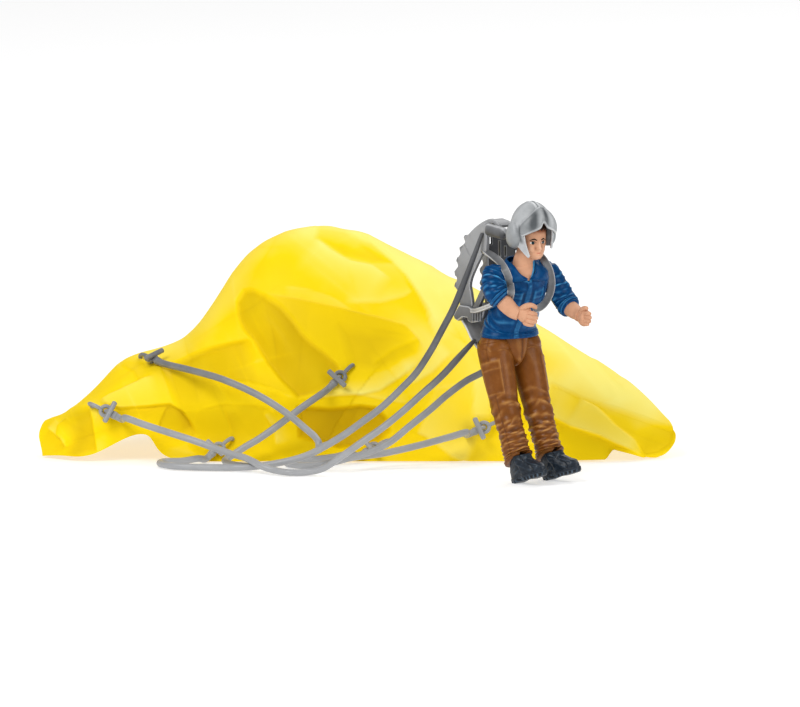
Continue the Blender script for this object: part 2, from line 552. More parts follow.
# %% Cloth: the big forms
HEAP_FRONT = 0.0497
HEAP_DEPTH = 0.115
GROUND_CLEARANCE = 0.00045
CRUMPLES, CRUMPLE_SEED = 90, 11
CLOTH_COLUMNS = 440
CLOTH_ROWS = 226
HEAP_SECTIONS = (
    ((42, 457, 0.11), (41, 450, 0.11), (39, 442, 0.11), (38, 434, 0.12),
     (40, 427, 0.13), (43, 421, 0.15), (48, 417, 0.17)),
    ((64, 455, 0.04), (60, 448, 0.04), (57, 436, 0.06), (57, 427, 0.08),
     (60, 419, 0.10), (64, 414, 0.15), (69, 410, 0.21)),
    ((90, 459, 0.02), (90, 446, 0.03), (91, 424, 0.03), (93, 412, 0.04),
     (94, 402, 0.08), (93, 395, 0.16), (91, 389, 0.26)),
    ((124, 437, 0.02), (119, 429, 0.02), (111, 408, 0.03), (112, 396, 0.06),
     (115, 382, 0.11), (119, 368, 0.19), (122, 351, 0.30)),
    ((153, 430, 0.02), (150, 423, 0.02), (146, 405, 0.03), (146, 391, 0.07),
     (146, 376, 0.12), (147, 360, 0.22), (148, 341, 0.33)),
    ((158, 462, 0.02), (166, 438, 0.06), (177, 404, 0.02), (175, 384, 0.08),
     (176, 368, 0.12), (178, 355, 0.23), (180, 337, 0.37)),
    ((205, 463, 0.01), (205, 434, 0.08), (208, 403, 0.02), (206, 376, 0.09),
     (205, 354, 0.13), (204, 330, 0.24), (210, 304, 0.42)),
    ((250, 463, 0.00), (254, 434, 0.08), (282, 399, 0.04), (256, 354, 0.16),
     (236, 318, 0.22), (228, 288, 0.33), (238, 247, 0.45)),
    ((290, 463, 0.00), (296, 434, 0.08), (314, 398, 0.04), (290, 350, 0.05),
     (250, 296, 0.10), (260, 272, 0.31), (278, 204, 0.47)),
    ((330, 463, 0.00), (334, 434, 0.09), (346, 402, 0.03), (338, 368, 0.08),
     (303, 318, 0.19), (308, 270, 0.32), (334, 196, 0.49)),
    ((372, 463, 0.00), (375, 434, 0.09), (378, 405, 0.02), (382, 378, 0.05),
     (375, 330, 0.16), (376, 278, 0.30), (388, 222, 0.47)),
    ((425, 463, 0.00), (430, 436, 0.03), (434, 408, 0.03), (440, 384, 0.07),
     (446, 350, 0.14), (448, 312, 0.26), (450, 258, 0.42)),
    ((545, 463, 0.00), (549, 448, 0.02), (554, 425, 0.05), (558, 409, 0.09),
     (564, 388, 0.15), (570, 362, 0.24), (580, 334, 0.37)),
    ((630, 459, 0.02), (636, 453, 0.03), (642, 440, 0.07), (641, 428, 0.10),
     (640, 415, 0.15), (642, 402, 0.21), (644, 386, 0.28)),
    ((656, 458, 0.09), (667, 454, 0.09), (676, 442, 0.10), (676, 434, 0.12),
     (673, 427, 0.14), (670, 422, 0.16), (666, 417, 0.20)),
)
BACK_HEM_DEPTH_SHARES = (
    0.23, 0.36, 0.48, 0.62, 0.66, 0.80, 0.84, 0.96, 0.94, 1.00, 0.93, 0.92,
    0.70, 0.47, 0.28,
)
BACK_MIDDLE_LIFT_SHARES = (
    0.0, 0.05, -0.05, 0.08, -0.06, 0.08, -0.05, 0.07, -0.06, 0.08, -0.06, 0.06,
    -0.05, 0.03, 0.0,
)


BACK_HEM_HEIGHTS = (0, 0.003, 0.012, 0.023, 0.026, 0.016, 0.002, 0, 0, 0, 0.002, 0, 0, 0, 0)


def heap_cage():
    """The cage in metres: rows of places from the front hem over the crest to the back hem."""
    table = np.array(HEAP_SECTIONS)
    y = HEAP_FRONT + table[..., 2] * HEAP_DEPTH
    x = (table[..., 0] - ORIGIN_PIXEL[0]) * PIXEL
    rise = (ORIGIN_PIXEL[1] - table[..., 1]) * PIXEL
    z = np.maximum((rise - y * math.sin(LOOK_DOWN)) / math.cos(LOOK_DOWN), GROUND_CLEARANCE)
    front = np.stack([x, y, z], axis=-1)
    crest = front[:, -1]
    hem_y = HEAP_FRONT + HEAP_DEPTH * np.array(BACK_HEM_DEPTH_SHARES)
    lift = np.array(BACK_MIDDLE_LIFT_SHARES)
    middle_y = crest[:, 1] + (hem_y - crest[:, 1]) * (0.52 + lift)
    middle = np.stack([crest[:, 0], middle_y, crest[:, 2] * (0.60 + lift)], axis=-1)
    hem = np.stack([crest[:, 0], hem_y, GROUND_CLEARANCE + np.array(BACK_HEM_HEIGHTS)], axis=-1)
    return np.concatenate([front, middle[:, None], hem[:, None]], axis=1)


def sheet_over(cage):
    """A fine grid near the cage: the same smooth curve taken across the sections, then along them."""
    fine = near(cage, CLOTH_COLUMNS)
    return near(fine.transpose(1, 0, 2), CLOTH_ROWS).transpose(1, 0, 2)


def normals_of(grid):
    """Directions out of a grid of points: the cross product of its two slopes, turned up and to the camera."""
    across, along = np.gradient(grid, axis=0), np.gradient(grid, axis=1)
    return unit(np.cross(across, along))


big_forms = sheet_over(heap_cage())
print("cage of", len(HEAP_SECTIONS), "sections; grid of", big_forms.shape[:2])

# %% [markdown]
# ## Creases and doubled cloth
#
# Thin nylon folds with crisp edges, and it looks deeper in colour wherever it
# lies double, because less light comes through. An edge is a line in the picture:
# the cloth on its left side is lifted and tinted, and both fade away from it. A
# patch is an outline: the cloth in it is pressed in and tinted evenly.

# %% Creases
# Each edge: places in pixels, lift in millimetres, tint (more is deeper), fade in pixels.
CLOTH_EDGES = (
    (((252, 339), (230, 343), (210, 348), (190, 355), (174, 363), (160, 368)), -1.6, 0.75, 60),
    (((424, 352), (418, 340), (405, 326), (378, 318), (358, 313), (330, 306), (300, 300), (262, 293)), 1.0, 0.45, 90),
    (((154, 375), (130, 385), (110, 394), (100, 401)), 1.0, -0.35, 12),
    (((198, 437), (190, 423), (182, 412), (170, 404), (142, 406), (120, 408), (100, 403)), -1.6, 0.8, 26),
    (((97, 455), (94, 436), (92, 420), (88, 404)), -1.0, 0.75, 24),
    (((46, 427), (60, 438), (66, 449)), 0.9, -0.5, 8),
    (((66, 449), (60, 438), (46, 427)), -0.3, 0.35, 20),
    (((168, 405), (162, 420), (158, 434)), -0.6, 0.5, 10),
    (((306, 400), (330, 396), (360, 395), (380, 391), (400, 378), (420, 363)), 0.9, -0.7, 12),
    (((340, 229), (364, 240), (376, 247), (392, 261), (406, 275), (414, 289), (420, 301), (426, 311), (430, 325), (440, 345)), 1.4, -0.75, 46),
    (((440, 338), (427, 308), (418, 294), (406, 275), (392, 261), (376, 247), (362, 236)), 0.5, 0.4, 14),
    (((392, 280), (372, 266), (350, 261), (330, 250), (316, 237)), 0.9, -0.7, 16),
    (((344, 303), (380, 303), (404, 297), (414, 291)), 0.6, -0.5, 10),
    (((416, 433), (426, 437), (452, 457), (468, 464)), 0.8, -0.5, 40),
    (((412, 385), (432, 372), (452, 352)), 0.6, -0.6, 22),
    (((474, 374), (474, 392), (473, 421)), 0.5, -0.4, 26),
    (((584, 399), (570, 391), (550, 381)), -0.9, 0.35, 26),
    (((540, 411), (570, 427), (600, 437), (640, 457)), 1.2, -0.6, 24),
    (((640, 457), (600, 437), (570, 427), (540, 411)), -0.4, 0.45, 26),
    (((300, 398), (270, 388), (244, 379), (214, 377)), 0.5, -0.35, 6),
    (((330, 391), (356, 394), (384, 400), (410, 404)), 0.5, -0.4, 5),
    (((262, 412), (274, 428), (276, 446)), 0.6, -0.5, 9),
    (((200, 410), (226, 404), (256, 406), (286, 414)), 0.4, -0.3, 7),
    (((226, 410), (232, 430), (228, 452)), 0.5, 0.3, 8),
    (((352, 310), (330, 296), (306, 288), (284, 286)), 0.4, -0.3, 7),
    (((372, 366), (392, 352), (420, 340)), 0.5, -0.35, 6),
    (((500, 384), (516, 402), (522, 430)), 0.5, 0.3, 9),
    (((590, 352), (604, 372), (626, 392)), 0.4, 0.25, 8),
    (((470, 300), (486, 322), (520, 344)), 0.4, -0.3, 8),
    (((120, 366), (134, 372), (140, 384)), 0.4, 0.3, 7),
    (((66, 416), (58, 426), (56, 440)), 0.5, 0.4, 7),
)
# Each glow, where light comes through a single layer: its line in pixels, tint and half width in pixels.
CLOTH_GLOWS = (
    (((318, 222), (350, 232), (412, 257), (454, 277), (536, 324), (598, 357), (650, 404)), -0.9, 24),
    (((152, 347), (203, 322), (224, 296), (246, 260), (271, 236), (300, 226)), -0.35, 12),
    (((120, 356), (150, 352), (180, 346)), -0.3, 10),
    (((548, 384), (580, 380), (612, 398)), -0.5, 16),
    (((430, 330), (470, 350), (500, 380)), -0.35, 26),
    (((60, 424), (76, 418), (90, 405)), -0.15, 8),
    (((200, 372), (240, 376), (270, 400)), 0.3, 14),
    (((100, 412), (110, 430), (100, 448)), -0.2, 8),
    (((78, 420), (80, 440), (76, 452)), 0.5, 9),
)
# Each patch: its outline in pixels, how far it is pressed in in millimetres, tint, soft rim in pixels.
CLOTH_PATCHES = (
    (((243, 290), (236, 301), (237, 315), (243, 329), (252, 340), (268, 364), (282, 381), (298, 397), (320, 392),
      (332, 382), (339, 371), (338, 366), (328, 356), (316, 347), (303, 335), (292, 321), (280, 307), (262, 293),
      (250, 289)), 1.4, 0.7, 1.2),
    (((340, 327), (366, 336), (390, 334), (414, 345), (418, 353), (406, 361), (380, 369), (352, 366)), 0.6, 0.3, 5),
    (((298, 408), (330, 410), (360, 407), (376, 409), (386, 420), (388, 432), (378, 441), (340, 446), (300, 436)), 2.0, 1.0, 3),
    (((584, 399), (612, 408), (640, 417), (674, 429), (672, 444), (660, 454), (646, 457), (636, 441), (616, 425),
      (596, 405)), 1.2, 0.45, 2),
    (((316, 237), (318, 226), (345, 230), (392, 262), (372, 262), (345, 254)), 0.5, 0.6, 3),
)


def to_line(pixels, line):
    """For each pixel place, how far it is from a line of points, its share of the way along the line, and on which side it is: +1 to the line's left as it is drawn."""
    line = np.asarray(line, float)
    start, step = line[:-1], np.diff(line, axis=0)
    away = pixels[:, None] - start[None]
    share = np.clip((away * step).sum(axis=-1) / (step**2).sum(axis=-1), 0, 1)
    gap = away - share[..., None] * step
    distance = np.linalg.norm(gap, axis=-1)
    nearest = distance.argmin(axis=1)
    row = np.arange(len(pixels))
    side = np.sign(away[row, nearest, 0] * step[nearest, 1] - away[row, nearest, 1] * step[nearest, 0])
    return distance[row, nearest], (nearest + share[row, nearest]) / len(step), side


def inside(pixels, outline):
    """Whether each place is within an outline: a line from it to the right crosses the outline an odd number of times."""
    a = np.asarray(outline, float)
    b = np.roll(a, -1, axis=0)
    x, y = pixels[:, :1], pixels[:, 1:]
    crosses = (a[:, 1] > y) != (b[:, 1] > y)
    height = np.where(b[:, 1] == a[:, 1], 1, b[:, 1] - a[:, 1])
    return (crosses & (x < (b[:, 0] - a[:, 0]) * (y - a[:, 1]) / height + a[:, 0])).sum(axis=1) % 2 == 1


def creased(pixels):
    """Lift in metres and tint of every place: an edge's share is its left side times exp(-(distance / fade)), cut down near its ends, and a patch's is a ramp over its soft rim."""
    lift, tint = np.zeros(len(pixels)), np.zeros(len(pixels))
    for line, height, tone, fade in CLOTH_EDGES:
        distance, along, side = to_line(pixels, line)
        ends = np.clip(np.minimum(along, 1 - along) / 0.12, 0, 1)
        crisp = np.clip(side * distance / 1.2, -1, 1) * 0.5 + 0.5
        share = crisp * np.exp(-distance / fade) * ends
        lift += height * 0.001 * share
        tint += tone * share
    for line, tone, width in CLOTH_GLOWS:
        tint += tone * np.exp(-((to_line(pixels, line)[0] / width) ** 2))
    for outline, depth, tone, rim in CLOTH_PATCHES:
        closed = [*outline, outline[0]]
        distance, _, _ = to_line(pixels, closed)
        share = np.clip(np.where(inside(pixels, outline), distance, -distance) / rim, -1, 1) * 0.5 + 0.5
        lift -= depth * 0.001 * share
        tint += tone * share
    return lift, tint


def crumpled(pixels):
    """Lift in metres and tint of small creases: |distance to a line| is sharp on the line, and exp(-(distance to its middle / reach) ** 2) ends it."""
    draw = np.random.default_rng(CRUMPLE_SEED)
    middles = draw.uniform((40, 215), (670, 460), (CRUMPLES, 2))
    slants = draw.normal(math.radians(38), math.radians(48), CRUMPLES)
    reaches = draw.uniform(16, 44, CRUMPLES)
    slopes = draw.choice((-1, 1), CRUMPLES) * draw.uniform(0.05, 0.15, CRUMPLES)
    lift, tint = np.zeros(len(pixels)), np.zeros(len(pixels))
    for middle, slant, reach, slope in zip(middles, slants, reaches, slopes):
        away = pixels - middle
        along = away @ [math.cos(slant), math.sin(slant)]
        across = away @ [-math.sin(slant), math.cos(slant)]
        fading = np.exp(-((along / reach) ** 2) - (across / (0.6 * reach)) ** 2)
        lift += slope * PIXEL * np.abs(across) * fading
        tint += 1.6 * slope * np.exp(-np.abs(across) / 1.6) * fading
    return lift, tint


# Each fold down the back: its share across the heap, drift towards the hem, half width and height in millimetres.
BACK_FOLDS = (
    (0.10, -0.03, 0.012, 2.2), (0.155, 0.03, 0.010, -2.0), (0.215, -0.04, 0.014, 3.2), (0.27, 0.05, 0.008, 1.8),
    (0.325, -0.03, 0.014, -3.2), (0.38, 0.06, 0.018, 4.6), (0.44, -0.05, 0.009, -2.2), (0.50, 0.04, 0.016, 4.2),
    (0.56, 0.09, 0.011, -3.0), (0.61, -0.03, 0.020, 4.4), (0.68, 0.08, 0.009, 2.0), (0.735, -0.02, 0.015, -3.4),
    (0.79, 0.07, 0.014, 3.4), (0.85, -0.01, 0.009, -2.0), (0.90, 0.04, 0.011, 2.2),
)


def back_folds():
    """Folds down the back of the heap: each is its height times exp(-|share - middle| / width), crisp at its crest, and fades out up to the heap's crest."""
    share = np.linspace(0, 1, CLOTH_COLUMNS)[:, None]
    down = np.clip((np.linspace(0, 1, CLOTH_ROWS)[None, :] - 0.76) / 0.24, 0, 1)
    folds = 0
    for middle, drift, width, height in BACK_FOLDS:
        gap = np.sqrt((share - middle - drift * down**1.5 - 0.006 * np.sin(7 * down + 40 * middle)) ** 2 + (0.08 * width) ** 2)
        folds = folds + 0.001 * height * np.exp(-gap / (width * (0.7 + 0.5 * down)))
    return folds * np.clip(down / 0.45, 0, 1) ** 1.2


# Lift of the front hem off the table, in pixels by the pixel across: the open notch at the right.
HEM_LIFTS = ((606, 0), (613, 10), (626, 6), (642, 1), (650, 0))


def hem_lift(pixels_across):
    """How far the front hem is lifted, in metres, fading over the first 40 rows."""
    across, lifts = np.array(HEM_LIFTS, float).T
    rows = np.clip(1 - np.arange(CLOTH_ROWS) / 40, 0, 1)[None, :]
    return np.interp(pixels_across, across, lifts) * PIXEL * rows


# Share of tint per metre of a back fold: its raised crest is single and pale, its valley double and deep.
BACK_TONE = 160
outward = normals_of(big_forms)
outward *= np.sign((outward * [0, -1, 0.6]).sum(axis=-1).mean())
# The front's creases and tints fade out past the crest, where the back's folds begin.
front = np.clip((0.90 - np.linspace(0, 1, CLOTH_ROWS)[None, :]) / 0.13, 0, 1)
flat_places = to_pixels(big_forms).reshape(-1, 2)
lift, tint = (first + second for first, second in zip(creased(flat_places), crumpled(flat_places)))
lift = (lift.reshape(big_forms.shape[:2]) * front)
tint = (tint.reshape(big_forms.shape[:2]) * front) - back_folds() * BACK_TONE
cloth_points = big_forms + outward * (lift + back_folds())[..., None]
cloth_points[..., 2] += hem_lift(to_pixels(big_forms)[..., 0])
cloth_points[..., 2] = np.maximum(cloth_points[..., 2], GROUND_CLEARANCE / 2)

cloth = add_mesh("canopy_cloth", cloth_points.reshape(-1, 3), grid_faces(CLOTH_COLUMNS, CLOTH_ROWS, False), CLOTH)
layers = cloth.data.attributes.new("layers", "FLOAT", "POINT")
layers.data.foreach_set("value", tint.ravel().astype(np.float32))
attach(cloth, "parachute")
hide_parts("canopy")
corner = np.cross(np.diff(cloth_points, axis=0)[:, :-1], np.diff(cloth_points, axis=1)[:-1])
CLOTH_AREA = float(np.linalg.norm(corner, axis=-1).sum())
print("cloth area in square metres:", round(CLOTH_AREA, 4))

# %% [markdown]
# ## Parachutist
#
# The figure is moulded plastic with its clothes as relief. Each part is a tube of
# rings round a path. Its relief, worked out from the angle round the tube and the
# share along it, raises pockets and presses folds in, and the same numbers thin
# the paint on what stands out.

# %% Figure helpers
FIGURE_TURN = math.radians(35)
HIPS = np.array([-0.002542, 0.014090, 0.044100])
HEAD = np.array([0.005077, 0.001639, 0.088100])


def stand(points, place):
    """The figure's own axes, front to -Y and left to +X, turned about the vertical and moved to a place."""
    c, s = math.cos(FIGURE_TURN), math.sin(FIGURE_TURN)
    return points @ np.array([[c, s, 0], [-s, c, 0], [0, 0, 1]]) + place


def wave_relief(angle, along, waves, size):
    """Carved folds: the highest of ridges (1 - |sin|) ** 1.5 that fade in and out both ways, each with a whole number of turns round, a number of turns along and a start, and bent by a slow wave; heights from about -size to size."""
    best = 0
    for turns, length, start in waves:
        bend = 1.1 * np.sin(angle + 2 * math.pi * 0.31 * length * along + 2 * start) + 0.5 * np.sin(3 * angle + 9 * along + start)
        ridge = (1 - np.abs(np.sin(0.5 * (turns * angle + 2 * math.pi * length * along + start + bend)))) ** 1.5
        fading = 0.60 + 0.40 * np.sin(2 * angle + 2 * math.pi * (0.43 * length + 1.3) * along + 5 * start)
        fading = fading * (0.70 + 0.30 * np.sin(5 * angle - 2 * math.pi * (0.71 * length + 0.6) * along + 3 * start))
        best = np.maximum(best, ridge * fading)
    return size * (2.6 * best - 0.7)


def edge_paint(height, reach=4):
    """What stands out from its surroundings: the height less its mean over `reach` places to each side, both ways."""
    longer = np.pad(height, ((reach, reach), (0, 0)), mode="edge")
    down = sum(longer[k:k + len(height)] for k in range(2 * reach + 1)) / (2 * reach + 1)
    return height - sum(np.roll(down, k, axis=1) for k in range(-reach, reach + 1)) / (2 * reach + 1)


def give_value(piece, values):
    """The "raised" value of every point, from -1 to 1."""
    raised = piece.data.attributes.new("raised", "FLOAT", "POINT")
    raised.data.foreach_set("value", np.clip(np.ravel(values), -1, 1).astype(np.float32))


def give_paint(piece, height, scale):
    """The "raised" value of a tube's points, its two end points last: 1.3 times what stands out, over scale, from -1 to 1."""
    give_value(piece, np.append(1.3 * edge_paint(height) / scale, [0, 0]))


def bump(value, middle, size):
    """A smooth hill: exp(-((value - middle) / size) ** 2)."""
    return np.exp(-(((value - middle) / size) ** 2))


def window(value, low, high, soft):
    """One between low and high and nought outside, with soft ramps."""
    return np.clip((value - low) / soft, 0, 1) * np.clip((high - value) / soft, 0, 1)


def around(angle, middle):
    """Angle from a middle, from minus half a turn to half a turn."""
    return (angle - middle + math.pi) % (2 * math.pi) - math.pi


def add_relief_tube(name, path, across, deep, material, body, place, sides, hint, relief, scale, slant=0):
    """A tube of the figure with its relief and paint. Slant lifts the front of its last tenth and lowers the back, by slant metres each."""
    rings = rings_round(path, across, deep, sides, hint, relief)
    share = np.clip((np.linspace(0, 1, len(path)) - 0.86) / 0.14, 0, 1) ** 2
    rings[..., 2] += slant * share[:, None] * np.cos(np.linspace(0, 2 * math.pi, sides, endpoint=False))[None, :]
    piece = add_tube(name, stand(rings.reshape(-1, 3), place).reshape(rings.shape), material)
    angle = np.linspace(0, 2 * math.pi, sides, endpoint=False)[None, :]
    along = np.linspace(0, 1, len(path))[:, None]
    give_paint(piece, np.broadcast_to(relief(angle, along), rings.shape[:2]), scale)
    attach(piece, body)
    return piece


# %% Trouser legs
HIP_SPACING = 0.0062
KNEE = np.array([0.0064, -0.0066, -0.0190])
ANKLE = np.array([0.0062, -0.0142, -0.0355])
LEG_RADII = (0.0030, 0.0046, 0.0058, 0.0060, 0.0055, 0.0049, 0.0045, 0.0046, 0.0049)
LEG_SIDES = 128
HEM_SLANT = 0.0016
LEG_ROWS = 170


def leg_path(side, splay):
    """Places down the middle of a leg, from above the hip to the ankle, with the knee and ankle swung out by splay."""
    c, s = math.cos(splay * side), math.sin(splay * side)
    swing = np.array([[c, 0, -s], [0, 1, 0], [s, 0, c]])
    knee, ankle = swing @ (KNEE * [side, 1, 1]), swing @ (ANKLE * [side, 1, 1])
    hip = np.array([side * HIP_SPACING, 0, 0])
    return [hip + [0, 0, 0.0056], hip + [0, 0, 0.0050], hip + [0, 0, 0.0026], hip, (hip + knee) / 2,
            knee, (knee + ankle) / 2, ankle * 0.88 + knee * 0.12, ankle]


def add_leg(label, side, splay):
    """One trouser leg: folds at the groin, the knee and the hem, a side seam and a cargo pocket with its flap."""
    path = through(leg_path(side, splay), LEG_ROWS)
    radii = through(np.array(LEG_RADII)[:, None], LEG_ROWS)[:, 0]
    outer = -side * math.radians(64)

    def relief(angle, along):
        out = around(angle, outer)
        thigh = wave_relief(angle, along, ((2, 3, 1.4 + side), (1, 2, 0.3)), 0.00010) * window(along, 0.2, 0.7, 0.1)
        groin = wave_relief(angle, along, ((2, 4, 0.4), (3, 5, 1.3)), 0.00014) * window(along, 0.16, 0.48, 0.10)
        knee = wave_relief(angle, along, ((side, 9, 0.2 + side), (2 * side, 14, 1.1), (-side, 12, 2.9)), 0.00034) * window(along, 0.52, 0.82, 0.10)
        hem = wave_relief(angle, along, ((side, 18, 0.5 - side), (-side, 23, 1.9), (2 * side, 27, 3.1)), 0.00036) * window(along, 0.66, 1.02, 0.08)
        pocket = window(out, -0.70, 0.70, 0.05) * window(along, 0.425, 0.572, 0.007)
        flap = window(out, -0.74, 0.74, 0.05) * window(along, 0.418, 0.468, 0.007)
        rim = pocket * (1 - window(out, -0.60, 0.60, 0.05) * window(along, 0.434, 0.562, 0.005))
        rim = np.maximum(rim, flap * (1 - window(out, -0.64, 0.64, 0.05) * window(along, 0.426, 0.460, 0.005)))
        seam = np.exp(-((out / 0.05) ** 2)) * (1 - pocket)
        hip_pocket = np.exp(-(((along - 0.20 - 0.05 * out) / 0.006) ** 2)) * window(out, -0.9, 0.5, 0.2)
        folds = (groin + thigh + knee + hem) * (1 - 0.85 * pocket)
        return folds + 0.00018 * pocket + 0.00008 * flap + 0.00016 * rim - 0.00014 * seam - 0.00018 * hip_pocket

    leg = add_relief_tube("trouser_leg_" + label, path, radii, radii * 1.04, TROUSER_PAINT, label + "_leg",
                          HIPS, LEG_SIDES, (0, -1, 0), relief, 0.0008, HEM_SLANT)
    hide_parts("leg_" + label)
    return leg


add_leg("right", -1, 0.0)
add_leg("left", 1, math.radians(1.5))

# %% Trouser front
PELVIS_PATH = ((0, 0, -0.0052), (0, 0, -0.0044), (0, 0, -0.0030), (0, 0, -0.0006), (0, 0, 0.0035), (0, 0, 0.0076))


def pelvis_relief(angle, along):
    """Creases that run up and out from the crotch, and the fly down the middle of the front."""
    out = around(angle, 0)
    creases = wave_relief(angle, along, ((2, 2, 0.5), (3, 1, 1.4)), 0.00007)
    fly = np.exp(-(((out - 0.10) / 0.07) ** 2)) * window(along, 0.35, 1.0, 0.1)
    return creases - 0.00020 * fly


pelvis_path = through(PELVIS_PATH, 60)
pelvis_wide = through(np.array([(0.0006,), (0.0012,), (0.0024,), (0.0044,), (0.0062,), (0.0066,)]), 60)[:, 0]
pelvis_deep = through(np.array([(0.0030,), (0.0052,), (0.0066,), (0.0071,), (0.0071,), (0.0066,)]), 60)[:, 0]
pelvis = add_relief_tube("trouser_front", pelvis_path, pelvis_wide, pelvis_deep, TROUSER_PAINT, "parachute",
                         HIPS, 72, (0, -1, 0), pelvis_relief, 0.0004)
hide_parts("pelvis")

# %% Shirt
# Height, lean of the middle, half width, half depth and shift aside, from the hem to the collar.
SHIRT_STATIONS = np.array((
    (0.0052, 0, 0.0104, 0.0081, 0), (0.0060, 0, 0.0108, 0.0084, 0), (0.0084, -0.0002, 0.0101, 0.0079, 0),
    (0.0112, -0.0012, 0.0094, 0.0075, 0), (0.0160, -0.0040, 0.0089, 0.0072, 0), (0.0210, -0.0068, 0.0092, 0.0071, 0),
    (0.0260, -0.0096, 0.0094, 0.0066, -0.0006), (0.0290, -0.0108, 0.0084, 0.0058, -0.0018),
    (0.0312, -0.0114, 0.0062, 0.0048, -0.0028), (0.0326, -0.0116, 0.0046, 0.0042, -0.0034),
))
SHIRT_ROWS = 190
SHIRT_SIDES = 200
shirt_table = through(SHIRT_STATIONS, SHIRT_ROWS)
shirt_path = shirt_table[:, [4, 1, 0]]


CHEST_FRONT = -0.26  # the chest is twisted a little to the right of the hips


def neck_opening(angle, along):
    """One in the open V of the shirt's front: its half width grows evenly from the apex up."""
    out = around(angle, CHEST_FRONT)
    return np.clip((1.0 * np.clip(along - 0.76, 0, 1) / 0.24 - np.abs(out)) / 0.05, 0, 1)


def shirt_relief(angle, along):
    """Folds at the waist and under the arms, a placket with buttons, two flapped pockets, a turned hem and the pressed-in V."""
    out = around(angle, CHEST_FRONT)
    waist = wave_relief(angle, along, ((2, 4, 0.7), (3, 5, 1.9), (1, 7, 2.4)), 0.00024) * window(along, 0.10, 0.60, 0.16)
    chest = wave_relief(angle, along, ((4, 3, 0.2), (3, 4, 2.0)), 0.00016) * window(along, 0.45, 0.95, 0.12)
    placket = window(out, -0.11, 0.11, 0.02) * window(along, 0.0, 0.77, 0.01)
    buttons = sum(np.exp(-(((out / 0.045) ** 2) + ((along - at) / 0.012) ** 2)) for at in (0.16, 0.30, 0.44, 0.58, 0.71))
    pocket = sum(window(out, low, low + 0.50, 0.03) * window(along, 0.44, 0.66, 0.010) for low in (-0.72, 0.22))
    flap = sum(window(out, low - 0.02, low + 0.52, 0.03) * window(along, 0.60 + 0.0 * out, 0.67, 0.008) for low in (-0.72, 0.22))
    hem = window(along, 0.0, 0.075, 0.012)
    return ((waist + chest) * (1 - 0.6 * pocket) * (1 - 0.5 * placket) + 0.00018 * placket + 0.00022 * buttons
            + 0.00022 * pocket + 0.00018 * flap + 0.00012 * hem - 0.0011 * neck_opening(angle, along))


shirt = add_relief_tube("shirt_body", shirt_path, shirt_table[:, 2], shirt_table[:, 3], SHIRT_PAINT, "parachute",
                        HIPS, SHIRT_SIDES, (0, -1, 0), shirt_relief, 0.0006)
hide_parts("torso")

skin_rows = shirt_table[SHIRT_ROWS * 2 // 3:]
skin_path = skin_rows[:, [4, 1, 0]]
chest_skin = add_relief_tube("chest_skin", skin_path, skin_rows[:, 2] - 0.0004, skin_rows[:, 3] - 0.0004, SKIN_PLASTIC,
                             "parachute", HIPS, 96, (0, -1, 0), lambda angle, along: 0 * angle * along, 1.0)

# %% Collar
# The collar's inner and outer edge from the V's foot round to the back of the neck:
# angle from the chest's front, and height.
COLLAR_INNER = ((0.05, 0.0272), (0.34, 0.0292), (0.72, 0.0318), (1.5, 0.0334), (2.3, 0.0340), (3.1, 0.0342))
COLLAR_OUTER = ((0.12, 0.0268), (0.86, 0.0262), (1.20, 0.0286), (1.8, 0.0300), (2.5, 0.0305), (3.1, 0.0306))
COLLAR_COLUMNS, COLLAR_ROWS = 90, 12


def on_shirt(angle, height, out):
    """A place on the shirt at an angle from its front and a height, moved out by out."""
    lean, wide, deep, aside = (np.interp(height, SHIRT_STATIONS[:, 0], SHIRT_STATIONS[:, k]) for k in (1, 2, 3, 4))
    wide, deep = np.maximum(wide, 0.0043), np.maximum(deep, 0.0042)
    return np.stack([aside + (wide + out) * np.sin(angle), lean - (deep + out) * np.cos(angle), height + 0 * angle], axis=-1)


collar_parts = []
for side in (-1, 1):
    inner, outer = through(COLLAR_INNER, COLLAR_COLUMNS)[:, None], through(COLLAR_OUTER, COLLAR_COLUMNS)[:, None]
    down = np.linspace(0, 1, COLLAR_ROWS)[None, :, None]
    place = inner + (outer - inner) * down
    rise = 0.0004 + 0.0007 * np.sin(math.pi * down[..., 0]) + 0.0003 * down[..., 0]
    grid = on_shirt(CHEST_FRONT - side * place[..., 0], place[..., 1], rise)
    collar_parts.append((stand(grid.reshape(-1, 3), HIPS), grid_faces(COLLAR_COLUMNS, COLLAR_ROWS, False)))
collar = add_joined("shirt_collar", collar_parts, SHIRT_PAINT)
collar_wall = collar.modifiers.new("collar_wall", "SOLIDIFY")
collar_wall.thickness = 0.0005
collar_wall.offset = 0
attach(collar, "parachute")

# %% [markdown]
# ## Arms and hands
#
# Places on an arm are read from the picture: a pixel and a chosen distance from
# the camera give a point in metres. The sleeve is rolled up to the elbow, the
# forearm is bare, and the hand is half closed, with four fingers and a thumb.


# %% Arms
def seen(across, down, y):
    """The place in metres that is seen at a pixel, at a depth y: the height is what is left of the rise after y sin(a), over cos(a)."""
    x = (across - ORIGIN_PIXEL[0]) * PIXEL
    rise = (ORIGIN_PIXEL[1] - down) * PIXEL
    return (x, y, (rise - y * math.sin(LOOK_DOWN)) / math.cos(LOOK_DOWN))


def seen_path(places):
    """Several such places as an array."""
    return np.array([seen(*place) for place in places])


